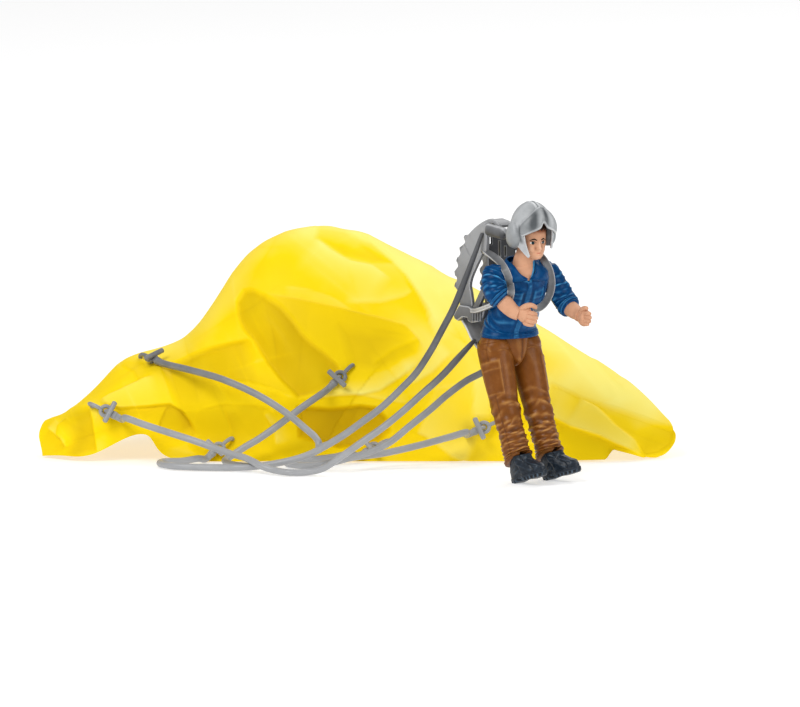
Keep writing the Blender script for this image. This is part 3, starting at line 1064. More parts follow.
def add_path_tube(name, places, radii, flat, material, body, rows, sides, hint, relief, scale):
    """A figure's tube along places read from the picture, with radii in metres; flat is its depth over its width. No turn: the places are in the frame already."""
    path = through(seen_path(places), rows)
    wide = through(np.array(radii)[:, None], rows)[:, 0]
    rings = rings_round(path, wide, wide * flat, sides, hint, relief)
    piece = add_tube(name, rings, material)
    angle = np.linspace(0, 2 * math.pi, sides, endpoint=False)[None, :]
    along = np.linspace(0, 1, rows)[:, None]
    give_paint(piece, np.broadcast_to(relief(angle, along), rings.shape[:2]), scale)
    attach(piece, body)
    return piece


def sleeve_relief(angle, along):
    """Folds down the sleeve and a cuff rolled twice at its end."""
    folds = wave_relief(angle, along, ((1, 4, 0.3), (2, 6, 1.1), (1, 8, 2.7)), 0.00030) * window(along, 0.16, 0.86, 0.30)
    cuff = window(along, 0.80, 0.965, 0.02) * 0.0004 - 0.0003 * np.exp(-(((along - 0.885) / 0.010) ** 2))
    return folds + cuff


def smooth_relief(angle, along):
    """No relief."""
    return 0 * angle * along


SLEEVES = {
    "right": (((497, 265, 0.0005), (496.5, 269, 0.0002), (494.5, 276, -0.0010), (493.5, 285, -0.0034),
               (495, 292, -0.0052), (499, 297, -0.0061), (502.5, 300.5, -0.0065)),
              (0.0020, 0.0038, 0.0044, 0.0043, 0.0041, 0.0038, 0.0034)),
    "left": (((545, 262, 0.0135), (546, 267, 0.0134), (551, 277, 0.0134), (557, 288, 0.0132),
              (564, 299, 0.0125), (568, 305, 0.0112), (571, 308, 0.0100)),
             (0.0018, 0.0034, 0.0041, 0.0042, 0.0041, 0.0038, 0.0034)),
}
FOREARMS = {
    "right": (((500, 298, -0.0060), (504, 302, -0.0067), (508.5, 307, -0.0076), (513.5, 311.5, -0.0085), (519, 314, -0.0090)),
              (0.0024, 0.0029, 0.0028, 0.0025, 0.0023)),
    "left": (((566, 304, 0.0118), (569, 307, 0.0106), (574, 311, 0.0082), (578, 314, 0.0062), (580, 316, 0.0048)),
             (0.0024, 0.0028, 0.0027, 0.0023, 0.0022)),
}
for side_name, (places, radii) in SLEEVES.items():
    sleeve = add_path_tube("sleeve_" + side_name, places, radii, 0.94, SHIRT_PAINT, side_name + "_arm", 120, 96,
                           (0, -1, 0), sleeve_relief, 0.0005)
    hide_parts("arm_" + side_name)
for side_name, (places, radii) in FOREARMS.items():
    forearm = add_path_tube("forearm_" + side_name, places, radii, 0.9, SKIN_PLASTIC, side_name + "_arm", 60, 48,
                            (0, -1, 0), smooth_relief, 1.0)

# %% Hands
HAND_PARTS = {
    "right": (
        (((518, 311.5, -0.0088), (521, 312.5, -0.0092), (526, 314.5, -0.0096), (530, 316, -0.0098)), (0.0018, 0.0026, 0.0030, 0.0020), 0.62),
        (((520, 309.5, -0.0100), (525, 306.5, -0.0108), (530, 305.2, -0.0108), (534.5, 306.5, -0.0100), (536.5, 309, -0.0092)), (0.0008, 0.0010, 0.0009, 0.0008, 0.0005), 1.0),
        (((526, 312, -0.0100), (531, 313.2, -0.0108), (535, 314.2, -0.0100), (536.5, 314.8, -0.0088)), (0.0008, 0.0009, 0.0008, 0.0005), 1.0),
        (((526, 316, -0.0102), (531, 317.2, -0.0112), (535.6, 318, -0.0104), (537, 318.4, -0.0090)), (0.0008, 0.0009, 0.0008, 0.0005), 1.0),
        (((525, 319.5, -0.0100), (530, 321, -0.0110), (534.6, 321.6, -0.0104), (536, 321.8, -0.0090)), (0.0008, 0.0009, 0.0008, 0.0005), 1.0),
        (((523, 322, -0.0096), (527.5, 324.2, -0.0104), (531.6, 324.8, -0.0100), (533.4, 324.8, -0.0088)), (0.0008, 0.0008, 0.0007, 0.0005), 1.0),
    ),
    "left": (
        (((579, 315, 0.0056), (582, 316.5, 0.0040), (585, 318, 0.0022), (586.5, 318.5, 0.0010)), (0.0018, 0.0026, 0.0030, 0.0020), 0.62),
        (((580, 313, 0.0046), (582, 310, 0.0030), (585, 308.4, 0.0018), (588, 308.6, 0.0008)), (0.0008, 0.0010, 0.0009, 0.0006), 1.0),
        (((584, 313.5, 0.0020), (588, 313.6, 0.0004), (590.5, 314.4, -0.0006)), (0.0008, 0.0009, 0.0006), 1.0),
        (((584.5, 317, 0.0018), (588.5, 317.4, 0.0002), (591, 318, -0.0008)), (0.0008, 0.0009, 0.0006), 1.0),
        (((584, 320.4, 0.0018), (588, 321, 0.0003), (590.4, 321.4, -0.0006)), (0.0008, 0.0009, 0.0006), 1.0),
        (((583, 323, 0.0020), (586.4, 324, 0.0008), (588.6, 324.2, 0)), (0.0008, 0.0008, 0.0006), 1.0),
    ),
}
for side_name, tubes in HAND_PARTS.items():
    shapes = []
    for places, radii, flat in tubes:
        path = through(seen_path(places), 24)
        wide = through(np.array(radii)[:, None], 24)[:, 0]
        wide = wide * np.sqrt(np.clip(np.minimum(np.linspace(0.12, 8, 24), np.linspace(8, 0.12, 24)), 0, 1))
        shapes.append(closed_tube(rings_round(path, wide, wide * flat, 20, (0, -1, 0))))
    hand = add_joined("hand_" + side_name, shapes, SKIN_PLASTIC)
    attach(hand, side_name + "_arm")

# %% [markdown]
# ## Pack
#
# The pack is a frame of flat hard plates. Their outlines are laid out in the
# picture and taken back to the plane that each plate stands in, so a plate is one
# filled outline with a wall and a rounded rim. Its straps are flat bands whose
# depth is found from the clothes under them.

# %% Planes and plates
def from_picture(pixels):
    """Across and rise of picture places, in metres from the hips' upright line and from the ground."""
    pixels = np.asarray(pixels, float)
    return (pixels[:, 0] - ORIGIN_PIXEL[0]) * PIXEL - HIPS[0], (ORIGIN_PIXEL[1] - pixels[:, 1]) * PIXEL


def on_side(pixels, aside):
    """Picture places on the upright plane at a distance to the figure's left, in its axes: the across is aside cos(t) - ahead sin(t), which gives ahead."""
    c, s = math.cos(FIGURE_TURN), math.sin(FIGURE_TURN)
    across, rise = from_picture(pixels)
    aside = aside + 0 * across
    behind = (aside * c - across) / s
    y = HIPS[1] + aside * s + behind * c
    return np.stack([aside, behind, (rise - y * math.sin(LOOK_DOWN)) / math.cos(LOOK_DOWN) - HIPS[2]], axis=1)


def on_back(pixels, behind):
    """The same on the plane that lies that far behind the hips."""
    c, s = math.cos(FIGURE_TURN), math.sin(FIGURE_TURN)
    across, rise = from_picture(pixels)
    aside = (across + behind * s) / c
    y = HIPS[1] + aside * s + behind * c
    return np.stack([aside, behind + 0 * across, (rise - y * math.sin(LOOK_DOWN)) / math.cos(LOOK_DOWN) - HIPS[2]], axis=1)


def closed_curve(pixels, count):
    """A smooth closed outline through the places."""
    places = np.asarray(pixels, float)
    return through(np.vstack([places, places[:1]]), count + 1)[:-1]


CLOSE_CORNERS = 0.00025


def add_plate(name, loops, thickness, rim, node, levels=()):
    """A plate from an outline and its holes: filled with triangles, cut at some levels where it bends, given a wall, and its rim rounded in paler plastic."""
    mesh = bmesh.new()
    for loop in loops:
        corners = [mesh.verts.new(place) for place in stand(loop, HIPS)]
        for first, second in zip(corners, corners[1:] + corners[:1]):
            mesh.edges.new((first, second))
    bmesh.ops.triangle_fill(mesh, use_beauty=True, edges=mesh.edges[:])
    for level in levels:
        parts = mesh.verts[:] + mesh.edges[:] + mesh.faces[:]
        bmesh.ops.bisect_plane(mesh, geom=parts, plane_co=(0, 0, HIPS[2] + level), plane_no=(0, 0, 1))
    bmesh.ops.remove_doubles(mesh, verts=mesh.verts[:], dist=CLOSE_CORNERS if len(levels) else 0)
    bmesh.ops.recalc_face_normals(mesh, faces=mesh.faces)
    data = bpy.data.meshes.new(name)
    mesh.to_mesh(data)
    mesh.free()
    data.polygons.foreach_set("use_smooth", [True] * len(data.polygons))
    data.materials.append(PACK_PLASTIC)
    data.materials.append(PACK_RIM)
    plate = bpy.data.objects.new(name, data)
    COLLECTION.objects.link(plate)
    wall = plate.modifiers.new("wall", "SOLIDIFY")
    wall.thickness = thickness
    wall.offset = 0
    edge = plate.modifiers.new("rim", "BEVEL")
    edge.width = rim
    edge.segments = 2
    edge.limit_method = "ANGLE"
    edge.angle_limit = math.radians(60)
    edge.use_clamp_overlap = False
    edge.harden_normals = True
    edge.material = 1
    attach(plate, "parachute")
    if node:
        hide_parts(node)
    return plate


# %% Frame of the pack
PLATE_ASIDE = 0.0053
PLATE_WALL = 0.0014
RIM = 0.0003
SIDE_PLATE = (
    (499.3, 228), (498.6, 225), (496.5, 222), (493.5, 219.8), (490, 218.8), (485.7, 219.9), (480.7, 222.7), (475, 227),
    (470, 232), (467, 235.2), (465, 234.9), (463.6, 236.6), (463.9, 239.5), (464.6, 242), (462.9, 244.5), (460.7, 246),
    (459.3, 247.7), (459.3, 250.2), (460, 252.7), (458.9, 255.6), (456.8, 257.7), (456.1, 260.6), (457.1, 263.4),
    (457.5, 266.3), (456.1, 268.4), (454.3, 271.3), (454.6, 274.9), (456.4, 277.7), (456.4, 280.6), (454.6, 283.4),
    (454.3, 286.3), (456.1, 289.1), (457.8, 292), (459.3, 297), (459.8, 305.8), (466, 307.4), (471.8, 307.2), (470.6, 294.1),
    (469.3, 285.6), (471, 277.5), (475, 268), (480.5, 256.5), (484.3, 248), (485.6, 238), (486.8, 229), (489, 224.8),
    (492.3, 223.6), (494.8, 225.2), (496, 229),
)
# The left plate has no teeth where the panel's slot is, and its top leans towards the right plate.
LEFT_PLATE = (*SIDE_PLATE[:9], (469.6, 237), (469.4, 243), (466.5, 248.5), *SIDE_PLATE[18:])
LEAN_LEVELS = (0.0372, 0.0440)
TOP_LEAN, TOP_DROP = 0.0054, 0.0007
for side, label, pixels in ((-1, "right", SIDE_PLATE), (1, "left", LEFT_PLATE)):
    outline = on_side(closed_curve(pixels, 220), -0.0060) * [0, 1, 1] + [side * PLATE_ASIDE, 0, 0]
    levels = np.linspace(*LEAN_LEVELS, 9) if side > 0 else ()
    plate = add_plate("toothed_plate_" + label, [outline], PLATE_WALL, RIM, "pack_side_plate_" + label, levels)
places = np.empty(len(plate.data.vertices) * 3)
plate.data.vertices.foreach_get("co", places)
places = places.reshape(-1, 3)
leaned = np.clip((places[:, 2:] - HIPS[2] - LEAN_LEVELS[0]) / (LEAN_LEVELS[1] - LEAN_LEVELS[0]), 0, 1)
places -= stand(np.array([TOP_LEAN, 0, TOP_DROP]), 0) * leaned**2 * (3 - 2 * leaned)
plate.data.vertices.foreach_set("co", places.ravel())
COVER_CENTRE = np.array([-TOP_LEAN / 2, 0.0056, 0.0268])
cover_outer = on_side(np.array(SIDE_PLATE[1:9]), -0.0060) * [0, 1, 1] + COVER_CENTRE * [1, 0, 0]
cover_outer = COVER_CENTRE + (through(cover_outer, 40) - COVER_CENTRE) * 0.99
cover_inner = COVER_CENTRE + (cover_outer[::-1] - COVER_CENTRE) * 0.94
add_plate("top_cover", [np.vstack([cover_outer, cover_inner])], 2 * PLATE_ASIDE - TOP_LEAN - PLATE_WALL, 0.0002, "pack_top_cover")

BACK_PANEL = ((486.8, 229.5), (514.5, 231), (515.5, 300), (487.5, 300))
PANEL_SLOTS = (
    ((488.8, 237), (491.2, 236.6), (491.4, 243.4), (490.2, 244.6), (488.8, 243.4)),
    ((497.6, 240.4), (499.6, 240.6), (499.8, 256.5), (497.8, 256.3)),
    ((503.5, 246), (505.2, 246), (505.4, 256), (503.7, 256)),
)
panel = add_plate("back_panel", [on_back(loop, 0.0052) for loop in (BACK_PANEL, *PANEL_SLOTS)], 0.0012, 0.0002, "pack_back_plate")
panel.data.materials[0] = PACK_DARK
UPRIGHT = ((483.9, 224.6), (486, 222.8), (488.6, 224.6), (488.2, 236), (487.3, 252), (484.8, 253.6), (482.1, 250.8), (482.9, 238))
STRUT = ((483.6, 286.5), (487, 290.5), (479.8, 307), (474.2, 307))
for side, label in ((-1, "right"), (1, "left")):
    for name, pixels, aside in (("upright", closed_curve(UPRIGHT, 60), 0.0069), ("strut", np.array(STRUT), 0.0063)):
        outline = on_side(pixels, -aside) * [-side, 1, 1]
        add_plate(name + "_" + label, [outline], 0.0015, RIM, None)

# %% Tray with its ribs
TRAY_ASIDE = 0.0074
TRAY = ((458.6, 304.9), (453.2, 314.9), (454.3, 319.1), (457.1, 320.9), (462.1, 317.2), (466.8, 317.8), (467.2, 321), (470.7, 322.9),
        (478, 321.8), (482.5, 317.5), (484.3, 309), (470.5, 308.2), (467.9, 306.4))
add_plate("waist_tray", [on_side(TRAY, -TRAY_ASIDE) * [0, 1, 1]], 2 * TRAY_ASIDE, 0.0004, "pack_tray")
for place in (472.4, 475.0, 477.6, 480.2):
    rib = ((place, 312), (place + 1.1, 312), (place + 1.1, 321.2), (place, 321.4))
    add_plate("tray_rib_%d" % (place * 10), [on_side(rib, -TRAY_ASIDE - 0.0002)], 0.0008, 0.0002, None)

# %% Shoulder hooks and bands
BAND_ROWS = 90


def add_band(name, path, half_width, half_thickness, hint, body, node, power=0.55, inner=0):
    """A flat band with squared, paler edges, and a darker face towards its inner side."""
    ends = np.sqrt(np.clip(np.minimum(np.arange(len(path)), np.arange(len(path))[::-1]) / 2 + 0.3, 0, 1))
    rings = rings_round(path, half_width * ends, half_thickness * ends, 48, hint, None, power)
    piece = add_tube(name, rings, PACK_BAND)
    edge = np.sin(np.linspace(0, 2 * math.pi, 48, endpoint=False))[None, :]
    tone = 0.9 * bump(np.abs(edge), 0.90, 0.10) - 0.45 * bump(edge, 0.30 * inner, 0.45)
    give_value(piece, np.append(tone * np.ones((len(path), 1)), [0, 0]))
    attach(piece, body)
    if node:
        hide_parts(node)


for side, label in ((-1, "right"), (1, "left")):
    hook = np.linspace(0, 1, 40)[:, None] * [0, -0.0116, -0.0006] + [side * 0.0072, 0.0036, 0.0427]
    rounded = np.sqrt(np.clip(1 - (np.abs(np.linspace(-1, 1, 40)) - 0.70).clip(0) ** 2 / 0.30**2, 0.03, 1))
    rings = rings_round(stand(hook, HIPS), 0.0017 * rounded, 0.0021 * rounded, 40, (0, 0, 1), None, 0.8)
    bar = add_tube("shoulder_hook_" + label, rings, PACK_BAND)
    upward = np.cos(np.linspace(0, 2 * math.pi, 40, endpoint=False))[None, :]
    bar_paint = 0.9 * bump(np.linspace(0, 1, 40)[:, None], 0, 0.10) + 0.6 * bump(upward, 0.9, 0.15) - 0.8 * bump(upward, -0.4, 0.9)
    give_value(bar, np.append(bar_paint.ravel(), [0, 0]))
    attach(bar, "parachute")
    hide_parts("pack_hook_" + label)
    waist = np.vstack([on_side([(x, y)], -aside) for x, y, aside in
                       ((470.8, 310.4, 0.0079), (476, 310.6, 0.0083), (482, 308.9, 0.0094), (488, 306.6, 0.0104), (494, 303.8, 0.0106))])
    add_band("waist_band_" + label, stand(through(waist * [-side, 1, 1], BAND_ROWS), HIPS), 0.00045, 0.0009, (0, 0, 1), "parachute", None)


TAIL_RIM = ((461.5, 320), (463.5, 324), (466.5, 330.5), (469.6, 338.5), (473.8, 346), (478.5, 352.5))
TAIL_ASIDE = 0.0052
tail_rim = through(on_side(TAIL_RIM, -TAIL_ASIDE), 60) * [0, 1, 1]
tail_rings = rings_round(tail_rim, TAIL_ASIDE * np.linspace(1, 0.82, 60), 0.0007, 64, (0, -1, 0), None, 0.3)
tail = add_tube("tail_flap", stand(tail_rings.reshape(-1, 3), HIPS).reshape(tail_rings.shape), PACK_BAND)
tail_side = np.sin(np.linspace(0, 2 * math.pi, 64, endpoint=False))[None, :] * np.ones((60, 1))
give_value(tail, np.append((1.0 * (np.abs(tail_side) > 0.995) + 0.3 * bump(tail_side, 0.2, 0.5) - 0.5 * bump(tail_side, -0.7, 0.25)).ravel(), [0, 0]))
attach(tail, "parachute")
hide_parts("pack_tail_flap")


def points_of(names):
    """All points of some pieces, in the frame."""
    found = []
    for name in names:
        data = bpy.data.objects[name].data
        places = np.empty(len(data.vertices) * 3)
        data.vertices.foreach_get("co", places)
        found.append(places.reshape(-1, 3))
    return np.vstack(found)


def laid_on(places, cloth_points, reach, out):
    """Picture places with a depth: the depth of the nearest cloth to the camera within reach pixels, less out metres, or the given depth where there is none."""
    spots = to_pixels(cloth_points)
    path = []
    for across, down, depth in places:
        near_by = np.linalg.norm(spots - [across, down], axis=1) < reach
        path.append(seen(across, down, cloth_points[near_by, 1].min() - out if near_by.any() else depth))
    return np.array(path)


STRAPS = {
    "right": ((484.8, 250.5, 0.0155), (489, 253.6, 0.0120), (494, 257, 0.0085), (500, 262, 0.0035), (505, 269.5, 0.0005),
              (508.6, 278, -0.0012), (510.4, 286, -0.0016), (510.8, 293, -0.0008), (508, 301, 0.0020), (500, 307, 0.0060)),
    "left": ((521, 249, 0.0190), (530, 250.5, 0.0154), (538, 254, 0.0115), (544, 260, 0.0090), (549, 269, 0.0069), (551.6, 281, 0.0057),
             (550.4, 292, 0.0070), (546, 301.5, 0.0100), (540, 307.5, 0.0150), (533, 309.5, 0.0190)),
}
clothes = points_of(["shirt_body", "sleeve_right", "sleeve_left"])
for side_name, places in STRAPS.items():
    path = through(laid_on(places, clothes, 3.0, 0.0004), BAND_ROWS)
    share = np.clip(np.linspace(0, 1, BAND_ROWS) / 0.35, 0, 1)[:, None]
    facing = unit((1 - share) * [0.0, -0.4, 1.0] + share * [0.0, -1.0, 0.15])
    add_band("strap_" + side_name, path, 0.00130, 0.0006, facing, "parachute", "shoulder_strap_" + side_name, inner=1 if side_name == "right" else -1)

# %% [markdown]
# ## Head
#
# The face follows the usual thirds: from the hair to the brow, from the brow to
# the nose's base and from there to the chin. It is one closed egg of rings, with
# the nose, the eye hollows and the lips as smooth bumps and dents.

# %% Head
HEAD_TURN = math.radians(-9)
HEAD_SIDES = 160
HEAD_ROWS = 150
HAIRLINE = 0.0006
CHIN = -0.0108
THIRD = (HAIRLINE - CHIN) / 3
BROW = HAIRLINE - THIRD
NOSE_BASE = BROW - THIRD
EYES = BROW - 0.30 * THIRD
MOUTH = NOSE_BASE - THIRD / 3
EYE_SPACING = 0.0021
# Height, half width, reach to the front and reach to the back.
HEAD_TABLE = np.array((
    (-0.0112, 0.0008, 0.0040, -0.0024), (-0.0108, 0.0020, 0.0052, -0.0010), (-0.0096, 0.0032, 0.0060, 0.0012),
    (-0.0076, 0.0042, 0.0062, 0.0034), (-0.0050, 0.0049, 0.0063, 0.0052), (-0.0020, 0.0053, 0.0064, 0.0062),
    (0.0012, 0.0054, 0.0063, 0.0066), (0.0042, 0.0049, 0.0056, 0.0060), (0.0066, 0.0036, 0.0040, 0.0044),
    (0.0078, 0.0016, 0.0018, 0.0020),
))


HEAD_SCALE = 0.9
HELMET_TURN = math.radians(-4)


def head_place(points, turn=HEAD_TURN):
    """The head's own axes, a little smaller and turned with the figure and a little more, to the frame."""
    c, s = math.cos(turn), math.sin(turn)
    return stand(HEAD_SCALE * points @ np.array([[c, s, 0], [-s, c, 0], [0, 0, 1]]), HEAD)


def face_point(angle, height, out=0):
    """A place on the head at an angle from its front (left is positive) and a height: an oval with the nose, lips, chin and eye hollows on it, moved out by out."""
    wide, ahead, behind = (np.interp(height, HEAD_TABLE[:, 0], HEAD_TABLE[:, k]) for k in (1, 2, 3))
    across = wide * np.sin(angle)
    nose = 0.0015 * bump(height, NOSE_BASE + 0.0006, 0.0010) * bump(across, 0, 0.0009)
    nose = nose + 0.0010 * bump(height, NOSE_BASE + 0.0022, 0.0016) * bump(across, 0, 0.0006)
    nostrils = 0.0004 * bump(height, NOSE_BASE + 0.0003, 0.0006) * bump(np.abs(across), 0.0009, 0.0005)
    hollows = -0.0006 * bump(height, EYES, 0.0009) * bump(np.abs(across), EYE_SPACING, 0.0012)
    brows = 0.00025 * bump(height, BROW, 0.0006) * bump(np.abs(across), EYE_SPACING, 0.0014)
    lips = 0.0004 * bump(height, MOUTH, 0.0007) * bump(across, 0, 0.0016) - 0.00035 * bump(height, MOUTH, 0.00016) * bump(across, 0, 0.0017)
    chin = 0.0005 * bump(height, CHIN + 0.0012, 0.0010) * bump(across, 0, 0.0016)
    cheeks = 0.0002 * bump(height, NOSE_BASE, 0.0016) * bump(np.abs(across), 0.0034, 0.0012)
    detail = (nose + nostrils + hollows + brows + lips + chin + cheeks) * (np.cos(angle) > 0)
    middle, reach = (behind - ahead) / 2, (behind + ahead) / 2
    return np.stack([across + out * np.sin(angle), middle - (reach + out) * np.cos(angle) - detail,
                     height + 0 * across], axis=-1)


head_angle = np.linspace(0, 2 * math.pi, HEAD_SIDES, endpoint=False)[None, :]
head_height = np.linspace(HEAD_TABLE[0, 0], HEAD_TABLE[-1, 0], HEAD_ROWS)[:, None]
face_rings = face_point(head_angle, head_height)
neck_path = through([(-0.0030, 0.0026, -0.0158), (-0.0024, 0.0024, -0.0120), (-0.0010, 0.0016, -0.0080), (0, 0.0010, -0.0030)], 30)
neck_rings = rings_round(neck_path, 0.0038, 0.0038, 60, (0, -1, 0))
head = add_joined("head_and_neck", [
    (head_place(points), faces) for points, faces in (closed_tube(face_rings), closed_tube(neck_rings))
], SKIN_PLASTIC)
# A brown wash under the helmet's rim, in the eye hollows and beside the nose; pale on the nose, cheeks and chin.
across_face = np.interp(head_height, HEAD_TABLE[:, 0], HEAD_TABLE[:, 1]) * np.sin(head_angle)
face_wash = (-0.9 * bump(head_height, HAIRLINE, 0.0013) - 0.7 * bump(np.abs(head_angle), 1.15, 0.40) * (head_height > CHIN + 0.002)
             - 0.45 * bump(head_height, EYES, 0.0007) * bump(np.abs(across_face), EYE_SPACING, 0.0012)
             - 0.5 * bump(head_height, NOSE_BASE + 0.0006, 0.0008) * bump(np.abs(across_face), 0.0014, 0.0004)
             + 0.6 * bump(head_height, NOSE_BASE + 0.0012, 0.0018) * bump(across_face, 0, 0.0005)
             + 0.35 * bump(head_height, NOSE_BASE, 0.0014) * bump(np.abs(across_face), 0.0030, 0.0009)
             + 0.4 * bump(head_height, CHIN + 0.0014, 0.0009) * bump(across_face, 0, 0.0012)
             - 0.35 * bump(head_height, MOUTH - 0.0009, 0.0004) * bump(across_face, 0, 0.0011))
neck_wash = np.zeros((30, 60))
give_value(head, np.concatenate([face_wash.ravel(), [0, 0], neck_wash.ravel(), [0, 0]]))
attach(head, "parachute")
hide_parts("head")


def face_tube(name, angles, heights, radii, out, material):
    """A thin painted stroke on the face, as a tube half sunk in it."""
    path = face_point(through(np.array(angles)[:, None], 24)[:, 0], through(np.array(heights)[:, None], 24)[:, 0], out)
    wide = through(np.array(radii)[:, None], 24)[:, 0]
    piece = add_tube(name, head_place(rings_round(path, wide, wide * 0.6, 12, (0, -1, 0.2))), material)
    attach(piece, "parachute")
    return piece


def dome(name, angle, height, radii, out, material):
    """A small painted oval on the face."""
    middle = face_point(np.array(angle), np.array(height), out)
    turn = np.linspace(0, 2 * math.pi, 28, endpoint=False)[None, :]
    lift = np.linspace(-math.pi / 2 + 0.05, math.pi / 2 - 0.05, 13)[:, None]
    ring = np.stack([radii[0] * np.cos(lift) * np.cos(turn), radii[1] * np.sin(lift) + 0 * turn,
                     radii[2] * np.cos(lift) * np.sin(turn)], axis=-1)
    c, s = math.cos(angle), math.sin(angle)
    ring = ring @ np.array([[c, s, 0], [-s, c, 0], [0, 0, 1]]) + middle
    piece = add_tube(name, head_place(ring), material)
    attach(piece, "parachute")
    return piece


for side, label in ((-1, "right"), (1, "left")):
    eye = side * 0.43
    dome("eye_white_" + label, eye, EYES, (0.00140, 0.00040, 0.00086), -0.0002, EYE_WHITE)
    dome("iris_" + label, eye + 0.02, EYES, (0.00064, 0.00034, 0.00072), 0.00006, EYE_DARK)
    face_tube("upper_lid_" + label, (eye - side * 0.24, eye, eye + side * 0.25), (EYES + 0.0001, EYES + 0.00086, EYES + 0.00005),
              (0.00008, 0.00016, 0.00008), -0.00005, HAIR_PAINT)
    face_tube("brow_" + label, (side * 0.17, side * 0.40, side * 0.70), (BROW - 0.0001, BROW + 0.00035, BROW - 0.0003),
              (0.00018, 0.00026, 0.00010), 0.0001, HAIR_PAINT)
face_tube("lips", (-0.30, 0, 0.30), (MOUTH + 0.0001, MOUTH - 0.00012, MOUTH + 0.0001), (0.00008, 0.00030, 0.00008), -0.00002, LIP_PAINT)

# Ears, and hair that caps the crown: it shows under the helmet's edge and when the helmet is off.
for side, label in ((-1, "right"), (1, "left")):
    dome("ear_" + label, side * 1.62, (BROW + NOSE_BASE) / 2, (0.0010, 0.0007, 0.0019), 0.0003, SKIN_PLASTIC)
HAIR_TOP, HAIR_ROUND = 0.0086, 0.0024
hair_angle = np.linspace(-math.pi, math.pi, 200, endpoint=False)[None, :]
hair_share = np.linspace(0, 1, 70)[:, None]
hair_low = HAIRLINE - 0.0002 - 0.0036 * np.clip((np.abs(hair_angle) - 0.75) / 0.5, 0, 1) + 0.0003 * np.sin(19 * hair_angle)
hair_height = hair_low + (HAIR_TOP - hair_low) * hair_share
strands = np.sin(34 * hair_angle + 5 * np.sin(3 * hair_angle) + 300 * hair_height) * np.sin(math.pi * hair_share)
hair_out = 0.0005 * np.clip(hair_share * 16, 0, 1) ** 0.5 - 0.0002 + 0.00012 * strands
hair_grid = face_point(hair_angle, np.minimum(hair_height, HAIR_ROUND), hair_out)
closing = np.sqrt(np.clip(1 - (np.maximum(hair_height - HAIR_ROUND, 0) / (HAIR_TOP - HAIR_ROUND)) ** 2, 0.0004, 1))
hair_grid[..., :2] *= closing[..., None]
hair_grid[..., 2] = hair_height
hair = add_tube("hair", head_place(hair_grid), HAIR_PAINT)
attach(hair, "parachute")

# %% [markdown]
# ## Helmet
#
# The shell is a dome whose edge is cut high over the brow and drops into narrow
# cheek flaps. Round ear cups sit behind them, a raised band with a notch over the
# nose wraps the brow, and a groove runs over the crown.

# %% Helmet shell
SHELL_WIDE, SHELL_DEEP, SHELL_TOP = 0.0078, 0.0086, 0.0106
SHELL_COLUMNS, SHELL_ROWS = 200, 90
EDGE_DEGREES = (-180, -150, -112, -86, -78, -72, -67, -62, -58, -54, -46, -24, -12, 0, 12, 24, 42, 50, 56, 62, 70, 84, 112, 150, 180)
EDGE_HEIGHTS = (-0.0052, -0.0052, -0.0054, -0.0056, -0.0060, -0.0078, -0.0096, -0.0099, -0.0064, -0.0012, 0.0008, 0.0012, 0.0038,
                0.0044, 0.0038, 0.0012, 0.0008, -0.0006, -0.0046, -0.0070, -0.0072, -0.0056, -0.0054, -0.0052, -0.0052)
FLAP_LEAN = 0.47


def shell_point(angle, height, out=0):
    """A place on the helmet: the radius is a dome's, sqrt(1 - (z / top) ** 2), above its widest level and nearly even below, and the flaps lean forward."""
    above = np.sqrt(np.clip(1 - (np.maximum(height, 0) / SHELL_TOP) ** 2, 0, 1))
    share = np.where(height > 0, above, 1 - 0.10 * (np.minimum(height, 0) / 0.0092) ** 2)
    lean = FLAP_LEAN * np.clip(-height / 0.0092, 0, 1) ** 1.8 * np.clip(1.9 - np.abs(angle), 0, 1)
    turned = angle - np.sign(angle) * lean
    groove = -0.00022 * bump(np.sin(angle) * SHELL_WIDE * share, 0, 0.00026) * (height > 0.0078)
    ridges = 0.00016 * bump(np.abs(np.sin(angle) * SHELL_WIDE * share), 0.0007, 0.0003) * (height > 0.0078)
    grow = out + groove + ridges
    return np.stack([np.sin(turned) * (SHELL_WIDE * share + grow), -np.cos(turned) * (SHELL_DEEP * share + grow),
                     height + 0 * angle + np.where(height > 0, grow * height / SHELL_TOP, 0)], axis=-1)


shell_angle = np.linspace(-math.pi, math.pi, SHELL_COLUMNS, endpoint=False)[None, :]
edge = np.interp(np.degrees(shell_angle), EDGE_DEGREES, EDGE_HEIGHTS)
shell_share = np.linspace(0.02, 1, SHELL_ROWS)[:, None]
round_height = SHELL_TOP * np.cos(shell_share * math.pi / 2)
shell_height = round_height + (edge - 0) * shell_share**3
shell_grid = shell_point(shell_angle + 0 * shell_height, shell_height)
shell_points = np.vstack([shell_grid.reshape(-1, 3), [(0, 0, SHELL_TOP)]])
crown = [[SHELL_ROWS * SHELL_COLUMNS, k, (k + 1) % SHELL_COLUMNS] for k in range(SHELL_COLUMNS)]
shell = add_mesh("helmet_dome", head_place(shell_points, HELMET_TURN), grid_faces(SHELL_ROWS, SHELL_COLUMNS, True) + crown, HELMET_PLASTIC)


def give_wall(piece, thickness, offset):
    """Turns the faces outward, gives the sheet a wall and rounds its rim."""
    mesh = bmesh.new()
    mesh.from_mesh(piece.data)
    bmesh.ops.recalc_face_normals(mesh, faces=mesh.faces)
    mesh.to_mesh(piece.data)
    mesh.free()
    wall = piece.modifiers.new("wall", "SOLIDIFY")
    wall.thickness = thickness
    wall.offset = offset
    return wall


